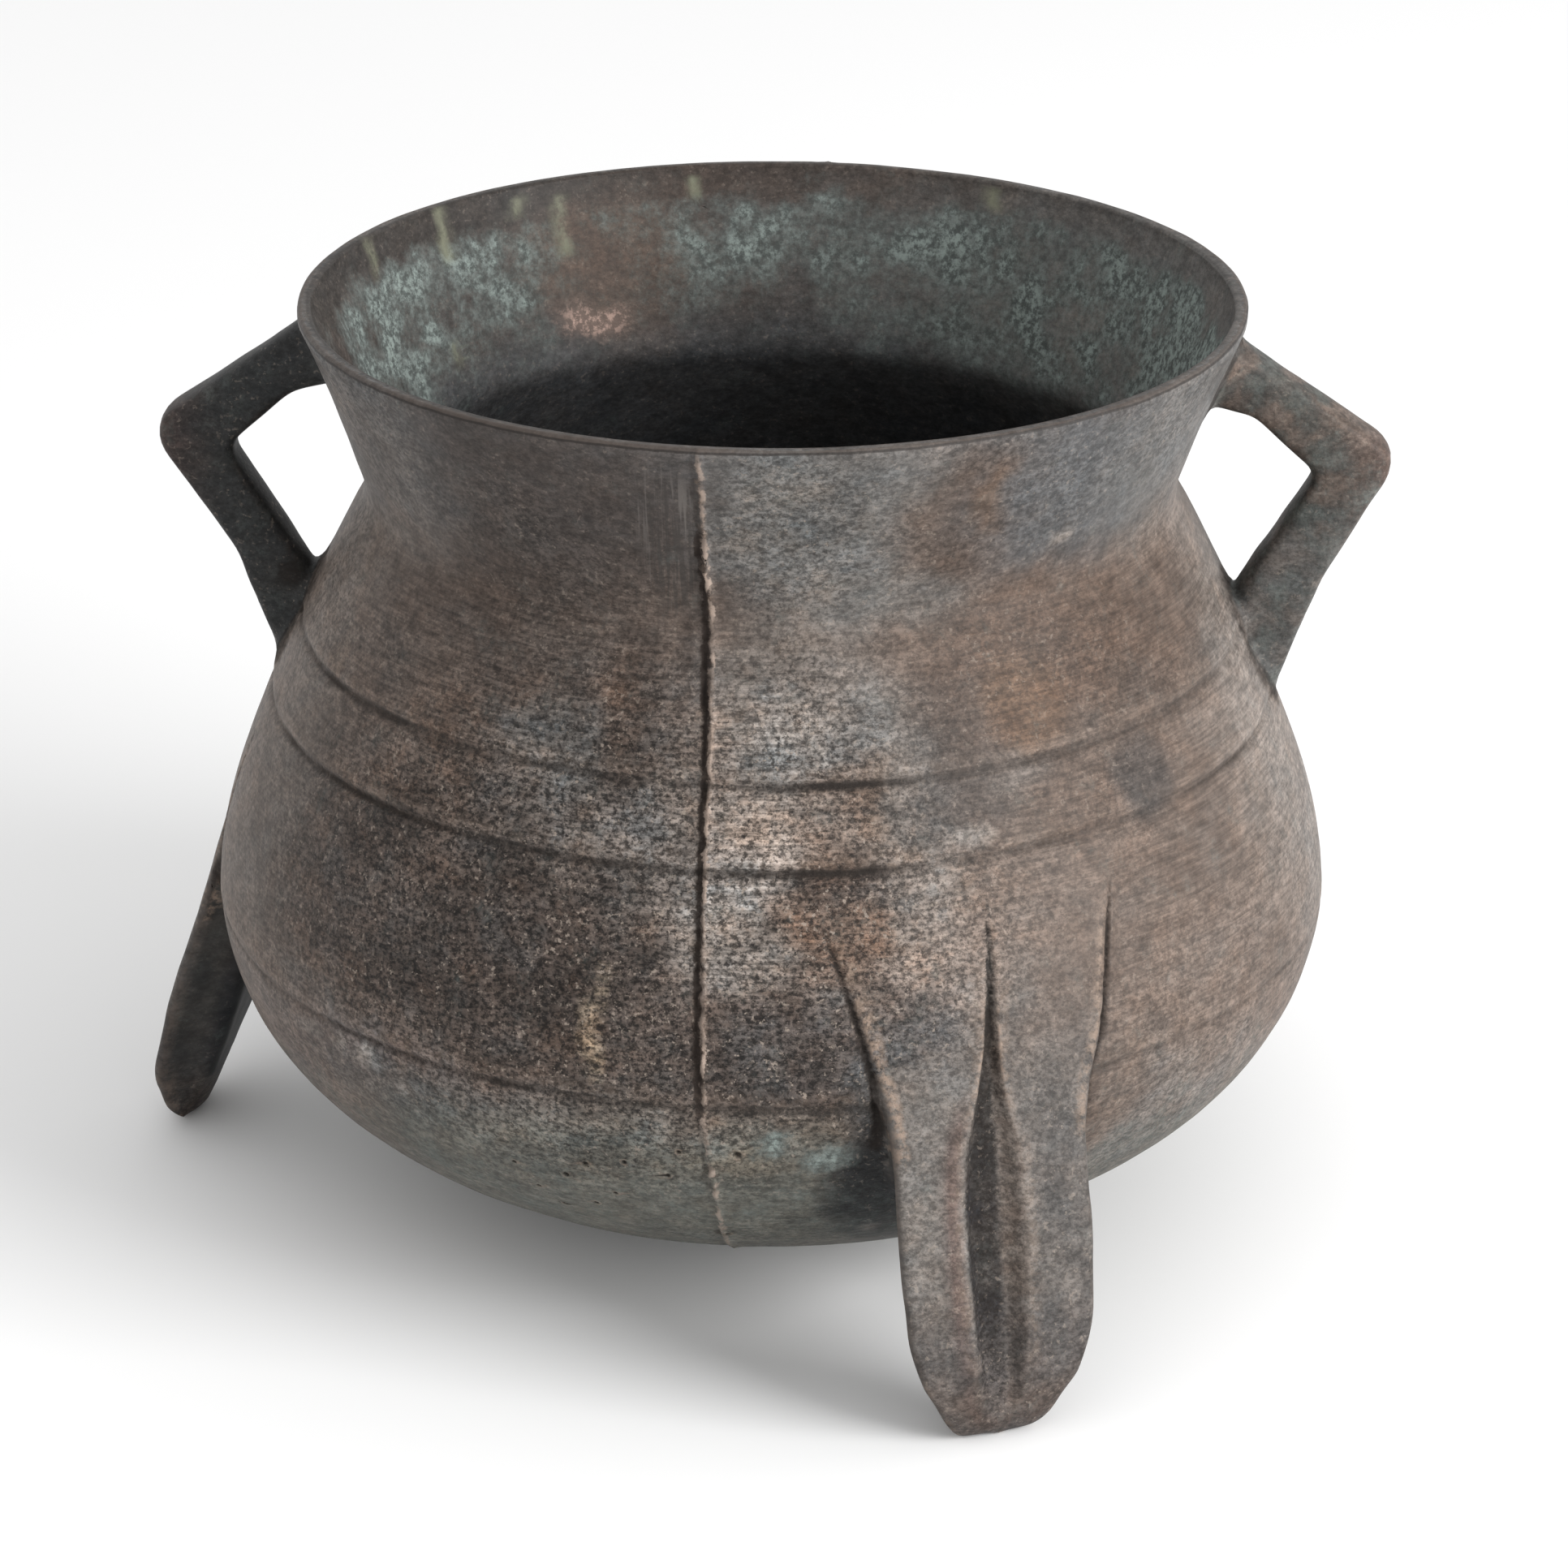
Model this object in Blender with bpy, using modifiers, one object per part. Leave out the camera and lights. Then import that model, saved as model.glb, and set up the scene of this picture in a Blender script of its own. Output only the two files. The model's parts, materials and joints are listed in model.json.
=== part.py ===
"""A three-legged bronze cauldron with a flared neck and two angular handles, cast in one piece.

Run it with: blender --background --python part.py
All sizes are in metres. The model stands on z = 0 and its handles point along X.
"""

import math

import bmesh
import bpy
from mathutils import Vector
from mathutils.geometry import interpolate_bezier

# ---------------------------------------------------------------- driving dimensions

HEIGHT = 0.2722           # ground to the top of the lip
RIM_RADIUS = 0.135        # outside of the lip
NECK_RADIUS = 0.1161      # outside of the crease between neck and body
NECK_HEIGHT = 0.2183
BELLY_RADIUS = 0.1630     # widest part of the body
BELLY_HEIGHT = 0.0958
BASE_HEIGHT = 0.0050      # underside of the rounded bottom above the ground
WALL = 0.004              # wall of the neck and the upper body
BASE_WALL = 0.0055        # wall at the middle of the bottom
LIP_ROUNDING = 0.0012

# Bezier handles that shape the outer profile, as (radius, height).
FLARE_HANDLES = ((0.1215, 0.2362), (0.1282, 0.2542))
SHOULDER_HANDLES = ((0.1175, 0.2130), (BELLY_RADIUS, 0.1346))
BOTTOM_HANDLES = ((BELLY_RADIUS, 0.0700), (0.1425, BASE_HEIGHT))

HANDLE_WIDTH = 0.0160     # across, along the rim
HANDLE_ROUNDING = 0.0042
# One handle points each way along X, each cast a little differently, as (angle, lift, fullness).
HANDLE_PLACES = ((0.0, -0.0006, 0.0012), (180.0, 0.0018, -0.0024))
# Corners of one handle's flat outline, as (radius, height, rounding); the ends lie inside the wall.
HANDLE_OUTLINE = (
    (0.1220, 0.2691, 0.0),
    (0.1804, 0.2291, 0.0090),
    (0.1582, 0.1912, 0.0200),
    (0.1410, 0.1448, 0.0),
    (0.1240, 0.1660, 0.0),
    (0.1240, 0.1850, 0.0),
    (0.1341, 0.1858, 0.0015),
    (0.1564, 0.2232, 0.0050),
    (0.1374, 0.2402, 0.0120),
    (0.1180, 0.2444, 0.0),
)
LOWER_BAR_CORNERS = (2, 3)   # these move out by the handle's fullness

# Each leg was shaped by hand, so its root leans a little to one side, as (angle, lean).
LEG_PLACES = ((-66.9, 0.0090), (54.0, -0.0030), (173.7, 0.0020))
LEG_TOP = 0.162           # hidden inside the body
LEG_EDGE = 0.0026         # rounding of the long edges
LEG_BACK_EDGE = 0.0055    # the same at the back, where a leg faces the body
LEG_DRAFT = 0.0060        # each side leans in by this much towards the back
# Sizes of a leg at a few heights, as (height, size); the stretches between them are smooth.
LEG_RIDGE = ((0.162, 0.1380), (0.130, 0.1556), (0.105, 0.1632), (0.0335, 0.1854),
             (0.018, 0.1889), (0.006, 0.1882), (0.0, 0.1838))
LEG_BACK = ((0.162, 0.1200), (0.016, 0.1710), (0.003, 0.1765), (0.0, 0.1795))
LEG_HALF_WIDTH = ((0.162, 0.0415), (0.144, 0.0412), (0.118, 0.0387), (0.088, 0.0304), (0.062, 0.0284),
                  (0.034, 0.0270), (0.014, 0.0214), (0.004, 0.0158), (0.0, 0.0118))
LEG_CROWN = ((0.162, 0.0058), (0.118, 0.0047), (0.088, 0.0030),
             (0.050, 0.0020), (0.012, 0.0026), (0.0, 0.0014))
GROOVE_HALF_WIDTH = ((0.162, 0.0005), (0.144, 0.0006), (0.104, 0.0034), (0.078, 0.0076),
                     (0.040, 0.0088), (0.018, 0.0078), (0.002, 0.0010), (0.0, 0.0005))
GROOVE_DEPTH = ((0.162, 0.0), (0.144, 0.0002), (0.104, 0.0022), (0.078, 0.0048), (0.058, 0.0056),
                (0.036, 0.0054), (0.016, 0.0028), (0.006, 0.0006), (0.0, 0.0))

TURNED_STEPS = 54         # facets round the vessel
LEG_RINGS = 21
BRONZE = (0.105, 0.088, 0.074, 1.0)


# ---------------------------------------------------------------- helpers

def bezier(start, handles, end, steps):
    """Points of one Bezier arc in the (radius, height) plane, both ends included."""
    knots = [Vector((r, z, 0.0)) for r, z in (start, handles[0], handles[1], end)]
    return [(point.x, point.y) for point in interpolate_bezier(*knots, steps + 1)]


def follow(track, height):
    """Size at a height on a track of (height, size) pairs, on a smooth curve that never overshoots."""
    points = sorted(track)
    height = min(max(height, points[0][0]), points[-1][0])
    slopes = [(b[1] - a[1]) / (b[0] - a[0]) for a, b in zip(points, points[1:])]
    tangents = [slopes[0]]
    for before, after in zip(slopes, slopes[1:]):
        tangents.append(2.0 * before * after / (before + after) if before * after > 0.0 else 0.0)
    tangents.append(slopes[-1])
    index = 0
    while height > points[index + 1][0]:
        index += 1
    (h0, s0), (h1, s1) = points[index], points[index + 1]
    span = h1 - h0
    t = (height - h0) / span
    return (s0 * (2 * t**3 - 3 * t**2 + 1) + s1 * (3 * t**2 - 2 * t**3)
            + tangents[index] * span * (t**3 - 2 * t**2 + t) + tangents[index + 1] * span * (t**3 - t**2))


def rounded(corners, arc_steps=5):
    """A closed outline whose corners, given as (x, y, radius), are turned into arcs."""
    outline = []
    for index, (x, y, radius) in enumerate(corners):
        corner = Vector((x, y))
        if radius == 0.0:
            outline.append(corner)
            continue
        before = (Vector(corners[index - 1][:2]) - corner).normalized()
        after = (Vector(corners[(index + 1) % len(corners)][:2]) - corner).normalized()
        half = before.angle(after) / 2.0
        centre = corner + (before + after).normalized() * radius / math.sin(half)
        start = corner + before * radius / math.tan(half) - centre
        end = corner + after * radius / math.tan(half) - centre
        for step in range(arc_steps + 1):
            outline.append(centre + start.normalized().slerp(end.normalized(), step / arc_steps) * radius)
    return outline


def new_object(name, data, collection):
    obj = bpy.data.objects.new(name, data)
    collection.objects.link(obj)
    return obj


def as_guide(obj):
    """A piece that only feeds a Boolean: it isn't rendered and shows as wires."""
    obj.hide_render = True
    obj.display_type = 'WIRE'


def turned(name, profile, collection):
    """A solid of revolution; the profile of (radius, height) runs down its outer side."""
    mesh = bpy.data.meshes.new(name)
    vertices = [(radius, 0.0, height) for radius, height in profile]
    mesh.from_pydata(vertices, [(i, i + 1) for i in range(len(vertices) - 1)], [])
    obj = new_object(name, mesh, collection)
    screw = obj.modifiers.new("turn", 'SCREW')
    screw.steps = TURNED_STEPS
    screw.render_steps = TURNED_STEPS
    screw.use_merge_vertices = True
    screw.merge_threshold = 0.00001
    return obj


# ---------------------------------------------------------------- vessel

def lip_arc(centre_radius, start_angle, end_angle, steps=3):
    """Part of a small circle at the top of the lip, as (radius, height)."""
    centre_height = HEIGHT - LIP_ROUNDING
    points = []
    for step in range(steps + 1):
        angle = math.radians(start_angle + (end_angle - start_angle) * step / steps)
        radius = centre_radius + LIP_ROUNDING * math.cos(angle)
        points.append((radius, centre_height + LIP_ROUNDING * math.sin(angle)))
    return points


def side_profile():
    """The outside of the vessel from just under the lip to the middle of the bottom."""
    under_lip = (RIM_RADIUS, HEIGHT - 2.0 * LIP_ROUNDING)
    neck = (NECK_RADIUS, NECK_HEIGHT)
    belly = (BELLY_RADIUS, BELLY_HEIGHT)
    bottom = (0.0, BASE_HEIGHT)
    flare = bezier(under_lip, FLARE_HANDLES[::-1], neck, 4)
    shoulder = bezier(neck, SHOULDER_HANDLES, belly, 11)
    base = bezier(belly, BOTTOM_HANDLES, bottom, 13)
    return flare + shoulder[1:] + base[1:]


def wall_at(height):
    """The wall thickens from the belly down to the middle of the bottom."""
    share = min(max((BELLY_HEIGHT - height) / (BELLY_HEIGHT - BASE_HEIGHT), 0.0), 1.0)
    return WALL + (BASE_WALL - WALL) * share


def inside_profile(outside):
    """The outside moved inwards by the wall, square to its slope at each point."""
    inside = []
    for index, (radius, height) in enumerate(outside):
        above = outside[max(index - 1, 0)]
        below = outside[min(index + 1, len(outside) - 1)]
        slope = Vector((below[0] - above[0], below[1] - above[1])).normalized()
        wall = wall_at(height)
        inside.append((radius + slope.y * wall, height - slope.x * wall))
    inside[-1] = (0.0, BASE_HEIGHT + BASE_WALL)
    return inside


def outer_body(collection):
    top = [(0.0, HEIGHT)] + lip_arc(RIM_RADIUS - LIP_ROUNDING, 90.0, 0.0)
    return turned("cauldron", top + side_profile(), collection)


def cavity(collection):
    """What the core left empty, carried on above the lip so that it cuts right through."""
    inner_lip = RIM_RADIUS - WALL
    mouth = [(0.0, HEIGHT + 0.01), (inner_lip + LIP_ROUNDING, HEIGHT + 0.01)]
    mouth += [(2.0 * (inner_lip + LIP_ROUNDING) - radius, height)
              for radius, height in lip_arc(inner_lip + LIP_ROUNDING, 90.0, 0.0)]
    return turned("cavity", mouth + inside_profile(side_profile())[1:], collection)


# ---------------------------------------------------------------- handles

def handle_outline(fullness):
    """The flat outline of a handle whose lower bar stands out by its fullness."""
    corners = []
    for index, (radius, height, rounding) in enumerate(HANDLE_OUTLINE):
        outset = fullness if index in LOWER_BAR_CORNERS else 0.0
        corners.append((radius + outset, height, rounding))
    return rounded(corners)


def handle(name, angle, lift, fullness, collection):
    """A bent bar cut from a flat outline, with its long edges rounded."""
    curve = bpy.data.curves.new(name, 'CURVE')
    curve.dimensions = '2D'
    curve.fill_mode = 'BOTH'
    curve.extrude = HANDLE_WIDTH / 2.0
    outline = handle_outline(fullness)
    spline = curve.splines.new('POLY')
    spline.points.add(len(outline) - 1)
    for point, place in zip(spline.points, outline):
        point.co = (place.x, place.y, 0.0, 1.0)
    spline.use_cyclic_u = True
    flat = new_object(name + "_outline", curve, collection)
    depsgraph = bpy.context.evaluated_depsgraph_get()
    mesh = bpy.data.meshes.new_from_object(flat.evaluated_get(depsgraph))
    bpy.data.objects.remove(flat)
    shape = bmesh.new()
    shape.from_mesh(mesh)
    bmesh.ops.remove_doubles(shape, verts=shape.verts, dist=0.00001)
    bmesh.ops.dissolve_limit(shape, angle_limit=math.radians(1.0), verts=shape.verts, edges=shape.edges)
    shape.to_mesh(mesh)
    shape.free()
    obj = new_object(name, mesh, collection)
    obj.rotation_euler = (math.radians(90.0), 0.0, math.radians(angle))
    obj.location.z = lift
    bevel = obj.modifiers.new("rounded edges", 'BEVEL')
    bevel.width = HANDLE_ROUNDING
    bevel.segments = 3
    bevel.limit_method = 'ANGLE'
    bevel.angle_limit = math.radians(60.0)
    as_guide(obj)
    return obj


# ---------------------------------------------------------------- legs

def leg_section(height, lean):
    """One level slice through a leg that points along +X: (radius, sideways) round its outline."""
    ridge = follow(LEG_RIDGE, height)
    back = follow(LEG_BACK, height)
    half_width = follow(LEG_HALF_WIDTH, height)
    crown = follow(LEG_CROWN, height)
    groove = follow(GROOVE_HALF_WIDTH, height)
    depth = follow(GROOVE_DEPTH, height)
    panel = half_width - LEG_EDGE - groove
    side = [(ridge - depth, 0.0)]
    for step in range(4):
        share = step / 3.0
        sideways = groove + panel * share
        side.append((ridge - crown * (sideways / half_width) ** 2, sideways))
    side.append((ridge - crown - LEG_EDGE, half_width))
    back_edge = min(LEG_BACK_EDGE, (ridge - crown - LEG_EDGE - back) * 0.7)
    side.append((back + back_edge, half_width - LEG_DRAFT))
    side.append((back, half_width - LEG_DRAFT - back_edge))
    mirrored = [(radius, -sideways) for radius, sideways in reversed(side[1:])]
    shift = lean * (height / LEG_TOP) ** 1.5
    return [(radius, sideways + shift) for radius, sideways in side + mirrored]


def leg_mesh(name, lean):
    """A loft through level slices that crowd together towards the rounded toe."""
    shape = bmesh.new()
    rings = []
    for index in range(LEG_RINGS):
        height = LEG_TOP * (1.0 - index / (LEG_RINGS - 1)) ** 1.6
        section = leg_section(height, lean)
        rings.append([shape.verts.new((radius, sideways, height)) for radius, sideways in section])
    count = len(rings[0])
    for upper, lower in zip(rings, rings[1:]):
        for i in range(count):
            j = (i + 1) % count
            shape.faces.new((upper[i], lower[i], lower[j], upper[j]))
    shape.faces.new(rings[0])
    shape.faces.new(list(reversed(rings[-1])))
    bmesh.ops.recalc_face_normals(shape, faces=shape.faces)
    mesh = bpy.data.meshes.new(name)
    shape.to_mesh(mesh)
    shape.free()
    return mesh


def legs(collection):
    made = []
    for number, (angle, lean) in enumerate(LEG_PLACES, start=1):
        name = f"leg_{number}"
        obj = new_object(name, leg_mesh(name, lean), collection)
        obj.rotation_euler.z = math.radians(angle)
        as_guide(obj)
        made.append(obj)
    return made


# ---------------------------------------------------------------- assembly

def bronze():
    material = bpy.data.materials.new("patinated_bronze")
    material.use_nodes = True
    shader = material.node_tree.nodes["Principled BSDF"]
    shader.inputs["Base Color"].default_value = BRONZE
    shader.inputs["Metallic"].default_value = 0.35
    shader.inputs["Roughness"].default_value = 0.62
    return material


def join(body, name, operation, source):
    boolean = body.modifiers.new(name, 'BOOLEAN')
    boolean.operation = operation
    boolean.solver = 'EXACT'
    if isinstance(source, bpy.types.Collection):
        boolean.operand_type = 'COLLECTION'
        boolean.collection = source
    else:
        boolean.object = source


def centre_on_origin(body, axis):
    """Moves the vessel's axis so that the middle of the whole cauldron stands over the origin."""
    bpy.context.view_layer.update()
    evaluated = body.evaluated_get(bpy.context.evaluated_depsgraph_get())
    corners = [evaluated.matrix_world @ Vector(corner) for corner in evaluated.bound_box]
    for i in range(2):
        low = min(corner[i] for corner in corners)
        high = max(corner[i] for corner in corners)
        axis.location[i] = -(low + high) / 2.0


def main():
    for obj in list(bpy.data.objects):
        bpy.data.objects.remove(obj)
    scene_root = bpy.context.scene.collection
    parts = bpy.data.collections.new("bronze_cauldron")
    limbs = bpy.data.collections.new("cast_on_limbs")
    cutters = bpy.data.collections.new("cutters")
    for collection in (parts, limbs, cutters):
        scene_root.children.link(collection)

    axis = new_object("vessel_axis", None, parts)
    body = outer_body(parts)
    core = cavity(cutters)
    as_guide(core)
    limb_list = legs(limbs)
    for number, (angle, lift, fullness) in enumerate(HANDLE_PLACES, start=1):
        limb_list.append(handle(f"handle_{number}", angle, lift, fullness, limbs))
    for piece in [body, core] + limb_list:
        piece.parent = axis

    join(body, "limbs", 'UNION', limbs)
    join(body, "hollow", 'DIFFERENCE', core)
    body.data.materials.append(bronze())
    centre_on_origin(body, axis)
    bpy.context.view_layer.update()


main()
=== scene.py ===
# %% [markdown]
# # A three-legged bronze cauldron
#
# The real vessel is one casting. Its founder poured bronze round a clay core, so the wall, the two
# handles and the three legs grew together in the mould, and nothing is riveted on. This lesson builds
# it the same way: one closed skin, joined from a turned body, two bent bars and three modelled legs,
# then roughened, scratched and coloured as the years have left it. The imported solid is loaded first,
# because every place below is worked out from it.

# %% Load the solid that the finished surface has to match
import json
import math

import bmesh
import bpy
import numpy as np
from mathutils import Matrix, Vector, noise
from mathutils.geometry import interpolate_bezier
from mathutils.kdtree import KDTree

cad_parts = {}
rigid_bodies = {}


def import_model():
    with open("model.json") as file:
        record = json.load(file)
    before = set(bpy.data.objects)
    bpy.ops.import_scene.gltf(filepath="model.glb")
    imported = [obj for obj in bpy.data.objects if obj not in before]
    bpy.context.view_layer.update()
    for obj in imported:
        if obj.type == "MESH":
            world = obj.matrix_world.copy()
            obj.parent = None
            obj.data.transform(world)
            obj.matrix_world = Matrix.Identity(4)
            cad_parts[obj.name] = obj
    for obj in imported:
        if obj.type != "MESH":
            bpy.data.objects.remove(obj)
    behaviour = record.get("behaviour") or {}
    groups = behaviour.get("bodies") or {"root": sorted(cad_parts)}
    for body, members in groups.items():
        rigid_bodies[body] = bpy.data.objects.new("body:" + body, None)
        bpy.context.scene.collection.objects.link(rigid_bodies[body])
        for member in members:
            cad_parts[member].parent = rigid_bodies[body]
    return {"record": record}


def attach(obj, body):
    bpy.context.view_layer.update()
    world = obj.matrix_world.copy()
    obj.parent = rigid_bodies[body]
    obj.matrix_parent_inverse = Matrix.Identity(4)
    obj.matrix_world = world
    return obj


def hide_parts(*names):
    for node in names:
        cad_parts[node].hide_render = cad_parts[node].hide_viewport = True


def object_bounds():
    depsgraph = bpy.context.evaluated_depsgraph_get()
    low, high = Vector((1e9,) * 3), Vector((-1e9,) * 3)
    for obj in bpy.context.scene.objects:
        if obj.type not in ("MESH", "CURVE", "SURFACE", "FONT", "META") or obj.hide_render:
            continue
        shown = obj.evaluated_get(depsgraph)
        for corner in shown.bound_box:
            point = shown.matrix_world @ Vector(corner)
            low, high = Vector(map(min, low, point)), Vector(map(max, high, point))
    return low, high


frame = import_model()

# %% [markdown]
# ## Measuring before making
#
# The record that came with the solid says where the mouth is, how high the lip stands and where each
# foot touches the ground. Reading those beats typing them again: if the solid changes, the surface
# follows. The vessel isn't centred in its box, since the legs and handles stick out unevenly, so the
# axis that the pot was turned about comes from the middle of the mouth.

# %% Find the turning axis, the lip and the feet
cad_low, cad_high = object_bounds()
record = frame["record"]
openings = {entry["name"]: entry["box_m"] for entry in record["physics"]["openings"]}
mounts = {entry["name"]: Vector(entry["pos_m"]) for entry in record["mounts"]}
mouth_low, mouth_high = (Vector(corner) for corner in openings["mouth"])
AXIS = Vector(((mouth_low.x + mouth_high.x) / 2, (mouth_low.y + mouth_high.y) / 2, 0.0))
HEIGHT = mounts["rim"].z


def bearing(point):
    """The angle of a point round the turning axis, in degrees, counted from +X."""
    return math.degrees(math.atan2(point.y - AXIS.y, point.x - AXIS.x))


LEG_ANGLES = [bearing(mounts[name]) for name in ("front_sole", "back_sole", "left_sole")]
print("turning axis", tuple(round(v, 4) for v in AXIS), "lip at", round(HEIGHT, 4))
print("legs stand at", [round(angle, 1) for angle in LEG_ANGLES], "degrees")

# %% [markdown]
# ## The turned body
#
# The founder shaped the clay for the body with a profiled board swung round a post. A Screw modifier
# does the same: it swings one profile round the Z axis. The profile has four smooth runs, the lip,
# the flaring neck, the shoulder down to the widest girth, and the round bottom. Each is one Bezier
# arc, because four control points a run are easy to adjust and leave no flat spots.

# %% Sizes of the body
RIM_RADIUS = 0.135
NECK = (0.1161, 0.2183)
BELLY = (0.1630, 0.0958)
BASE_HEIGHT = 0.0050
WALL = 0.004
BASE_WALL = 0.0055
LIP_ROUNDING = 0.0012


def bezier(start, first_handle, second_handle, end, steps):
    """Points of one Bezier arc in the (radius, height) plane, both ends included."""
    knots = [Vector((r, z, 0.0)) for r, z in (start, first_handle, second_handle, end)]
    return [(point.x, point.y) for point in interpolate_bezier(*knots, steps + 1)]


def side_profile(flare_steps, shoulder_steps, base_steps):
    """The outside from just under the lip to the middle of the bottom."""
    flare = bezier((RIM_RADIUS, HEIGHT - 2 * LIP_ROUNDING), (0.1282, 0.2542), (0.1215, 0.2362),
                   NECK, flare_steps)
    shoulder = bezier(NECK, (0.1175, 0.2130), (BELLY[0], 0.1346), BELLY, shoulder_steps)
    base = bezier(BELLY, (BELLY[0], 0.0700), (0.1425, BASE_HEIGHT), (0.0, BASE_HEIGHT), base_steps)
    return flare + shoulder[1:] + base[1:]


PROFILE = np.array(side_profile(40, 80, 120))[::-1]


def skin_radius(height):
    """Radius of the outside at a height, read back from the profile."""
    return np.interp(height, PROFILE[:, 1], PROFILE[:, 0])


print("the body is", round(2000 * BELLY[0]), "mm across its widest girth")

# %% [markdown]
# ## A hollow with a true wall
#
# A cauldron modelled as a solid lump looks right only from the side. This one was cast round a core,
# so the inside is the outside moved inwards by the wall, square to its slope at every point. It could
# be a Solidify modifier, but the wall thickens under the belly, so the inner profile is worked out
# here and turned into a core of its own, which is then cut away.

# %% Profiles of the body and its core


def lip_arc(centre_radius, start_angle, end_angle, steps=5):
    """Part of the small rounding on top of the lip."""
    points = []
    for step in range(steps + 1):
        angle = math.radians(start_angle + (end_angle - start_angle) * step / steps)
        points.append((centre_radius + LIP_ROUNDING * math.cos(angle),
                       HEIGHT - LIP_ROUNDING + LIP_ROUNDING * math.sin(angle)))
    return points


def inside_of(outside):
    """The outside moved in by the wall, which thickens from the belly to the middle of the bottom."""
    inside = []
    for index, (radius, height) in enumerate(outside):
        above = Vector(outside[max(index - 1, 0)])
        below = Vector(outside[min(index + 1, len(outside) - 1)])
        slope = (below - above).normalized()
        share = min(max((BELLY[1] - height) / (BELLY[1] - BASE_HEIGHT), 0.0), 1.0)
        wall = WALL + (BASE_WALL - WALL) * share
        inside.append((radius + slope.y * wall, height - slope.x * wall))
    inside[-1] = (0.0, BASE_HEIGHT + BASE_WALL)
    return inside


def body_profile():
    """The whole outside, from the axis over the lip to the middle of the bottom."""
    top = [(0.0, HEIGHT), (0.06, HEIGHT), (0.11, HEIGHT)]
    return top + lip_arc(RIM_RADIUS - LIP_ROUNDING, 90, 0) + side_profile(19, 46, 58)


def core_profile():
    """The clay core that keeps the vessel hollow; it stands a little proud of the lip."""
    lip_middle = RIM_RADIUS - WALL + LIP_ROUNDING
    clear = HEIGHT + 0.01
    rounding = [(2 * lip_middle - radius, height) for radius, height in lip_arc(lip_middle, 90, 0)]
    return [(0.0, clear), (lip_middle, clear)] + rounding + inside_of(side_profile(16, 26, 24))[1:]


# %% Swing a profile round the axis
OUTSIDE, LEG, HANDLE, INSIDE = range(4)   # what each patch of the finished skin belongs to
workshop = bpy.data.collections.new("workshop")
bpy.context.scene.collection.children.link(workshop)


def workpiece(name, mesh, region):
    """An object on the bench whose faces remember which region of the casting they are."""
    for slot_name in ("outside", "leg", "handle", "inside"):
        mesh.materials.append(bpy.data.materials.get(slot_name) or bpy.data.materials.new(slot_name))
    mesh.polygons.foreach_set("material_index", [region] * len(mesh.polygons))
    obj = bpy.data.objects.new(name, mesh)
    workshop.objects.link(obj)
    return obj


def mesh_as_made(obj):
    """The mesh that an object's modifiers leave, as a mesh of its own."""
    evaluated = obj.evaluated_get(bpy.context.evaluated_depsgraph_get())
    return bpy.data.meshes.new_from_object(evaluated)


def turned(name, profile, steps, region):
    """A solid of revolution, made by swinging a profile of (radius, height) points."""
    mesh = bpy.data.meshes.new(name)
    mesh.from_pydata([(r, 0.0, z) for r, z in profile], [(i, i + 1) for i in range(len(profile) - 1)], [])
    wire = bpy.data.objects.new(name + "_profile", mesh)
    workshop.objects.link(wire)
    screw = wire.modifiers.new("swing", 'SCREW')
    screw.steps = steps
    screw.render_steps = steps
    screw.use_merge_vertices = True
    screw.merge_threshold = 0.00001
    solid = workpiece(name, mesh_as_made(wire), region)
    bpy.data.objects.remove(wire)
    return solid


body = turned("body", body_profile(), 200, OUTSIDE)
core = turned("core", core_profile(), 120, INSIDE)
print("body", len(body.data.polygons), "faces, core", len(core.data.polygons), "faces")

# %% [markdown]
# ## The two bent handles
#
# Each handle is a bar of about 16 by 19 mm that leaves the flare, turns a sharp elbow and comes back
# to the shoulder. A curve with a bevel would keep one thickness all the way, but these thicken at the
# elbow and taper to the shoulder. So the bar is a loft: two paths, the outer and the inner edge, are
# walked together, and a rounded rectangle is set between them at each step.

# %% Walk along a path with rounded corners


def rounded_path(corners, arc_steps=8):
    """An open path whose inner corners, given as (radius, height, rounding), are turned into arcs."""
    path = [Vector(corners[0][:2])]
    for index in range(1, len(corners) - 1):
        corner = Vector(corners[index][:2])
        rounding = corners[index][2]
        before = (Vector(corners[index - 1][:2]) - corner).normalized()
        after = (Vector(corners[index + 1][:2]) - corner).normalized()
        half = before.angle(after) / 2
        centre = corner + (before + after).normalized() * rounding / math.sin(half)
        start = (corner + before * rounding / math.tan(half) - centre).normalized()
        end = (corner + after * rounding / math.tan(half) - centre).normalized()
        path += [centre + start.slerp(end, step / arc_steps) * rounding for step in range(arc_steps + 1)]
    return path + [Vector(corners[-1][:2])]


def stations(path, waypoint, before, after):
    """Points spaced evenly along a path up to the place nearest a waypoint, and evenly again past it."""
    points = np.array([tuple(point) for point in path])
    along = np.concatenate(([0.0], np.cumsum(np.linalg.norm(np.diff(points, axis=0), axis=1))))
    middle = along[np.argmin(np.linalg.norm(points - np.array(waypoint), axis=1))]
    stops = np.concatenate((np.linspace(0.0, middle, before)[:-1], np.linspace(middle, along[-1], after)))
    return np.stack([np.interp(stops, along, points[:, i]) for i in range(2)], axis=1)


# %% Loft the handles
HANDLE_WIDTH = 0.0160
HANDLE_ROUNDING = 0.0046
# One handle points each way along X; each was cast a little differently: (angle, lift, fullness).
HANDLES = ((0.0, -0.0006, 0.0012), (180.0, 0.0018, -0.0024))
UPPER_BAR_STATIONS = 34
LOWER_BAR_STATIONS = 40


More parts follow.
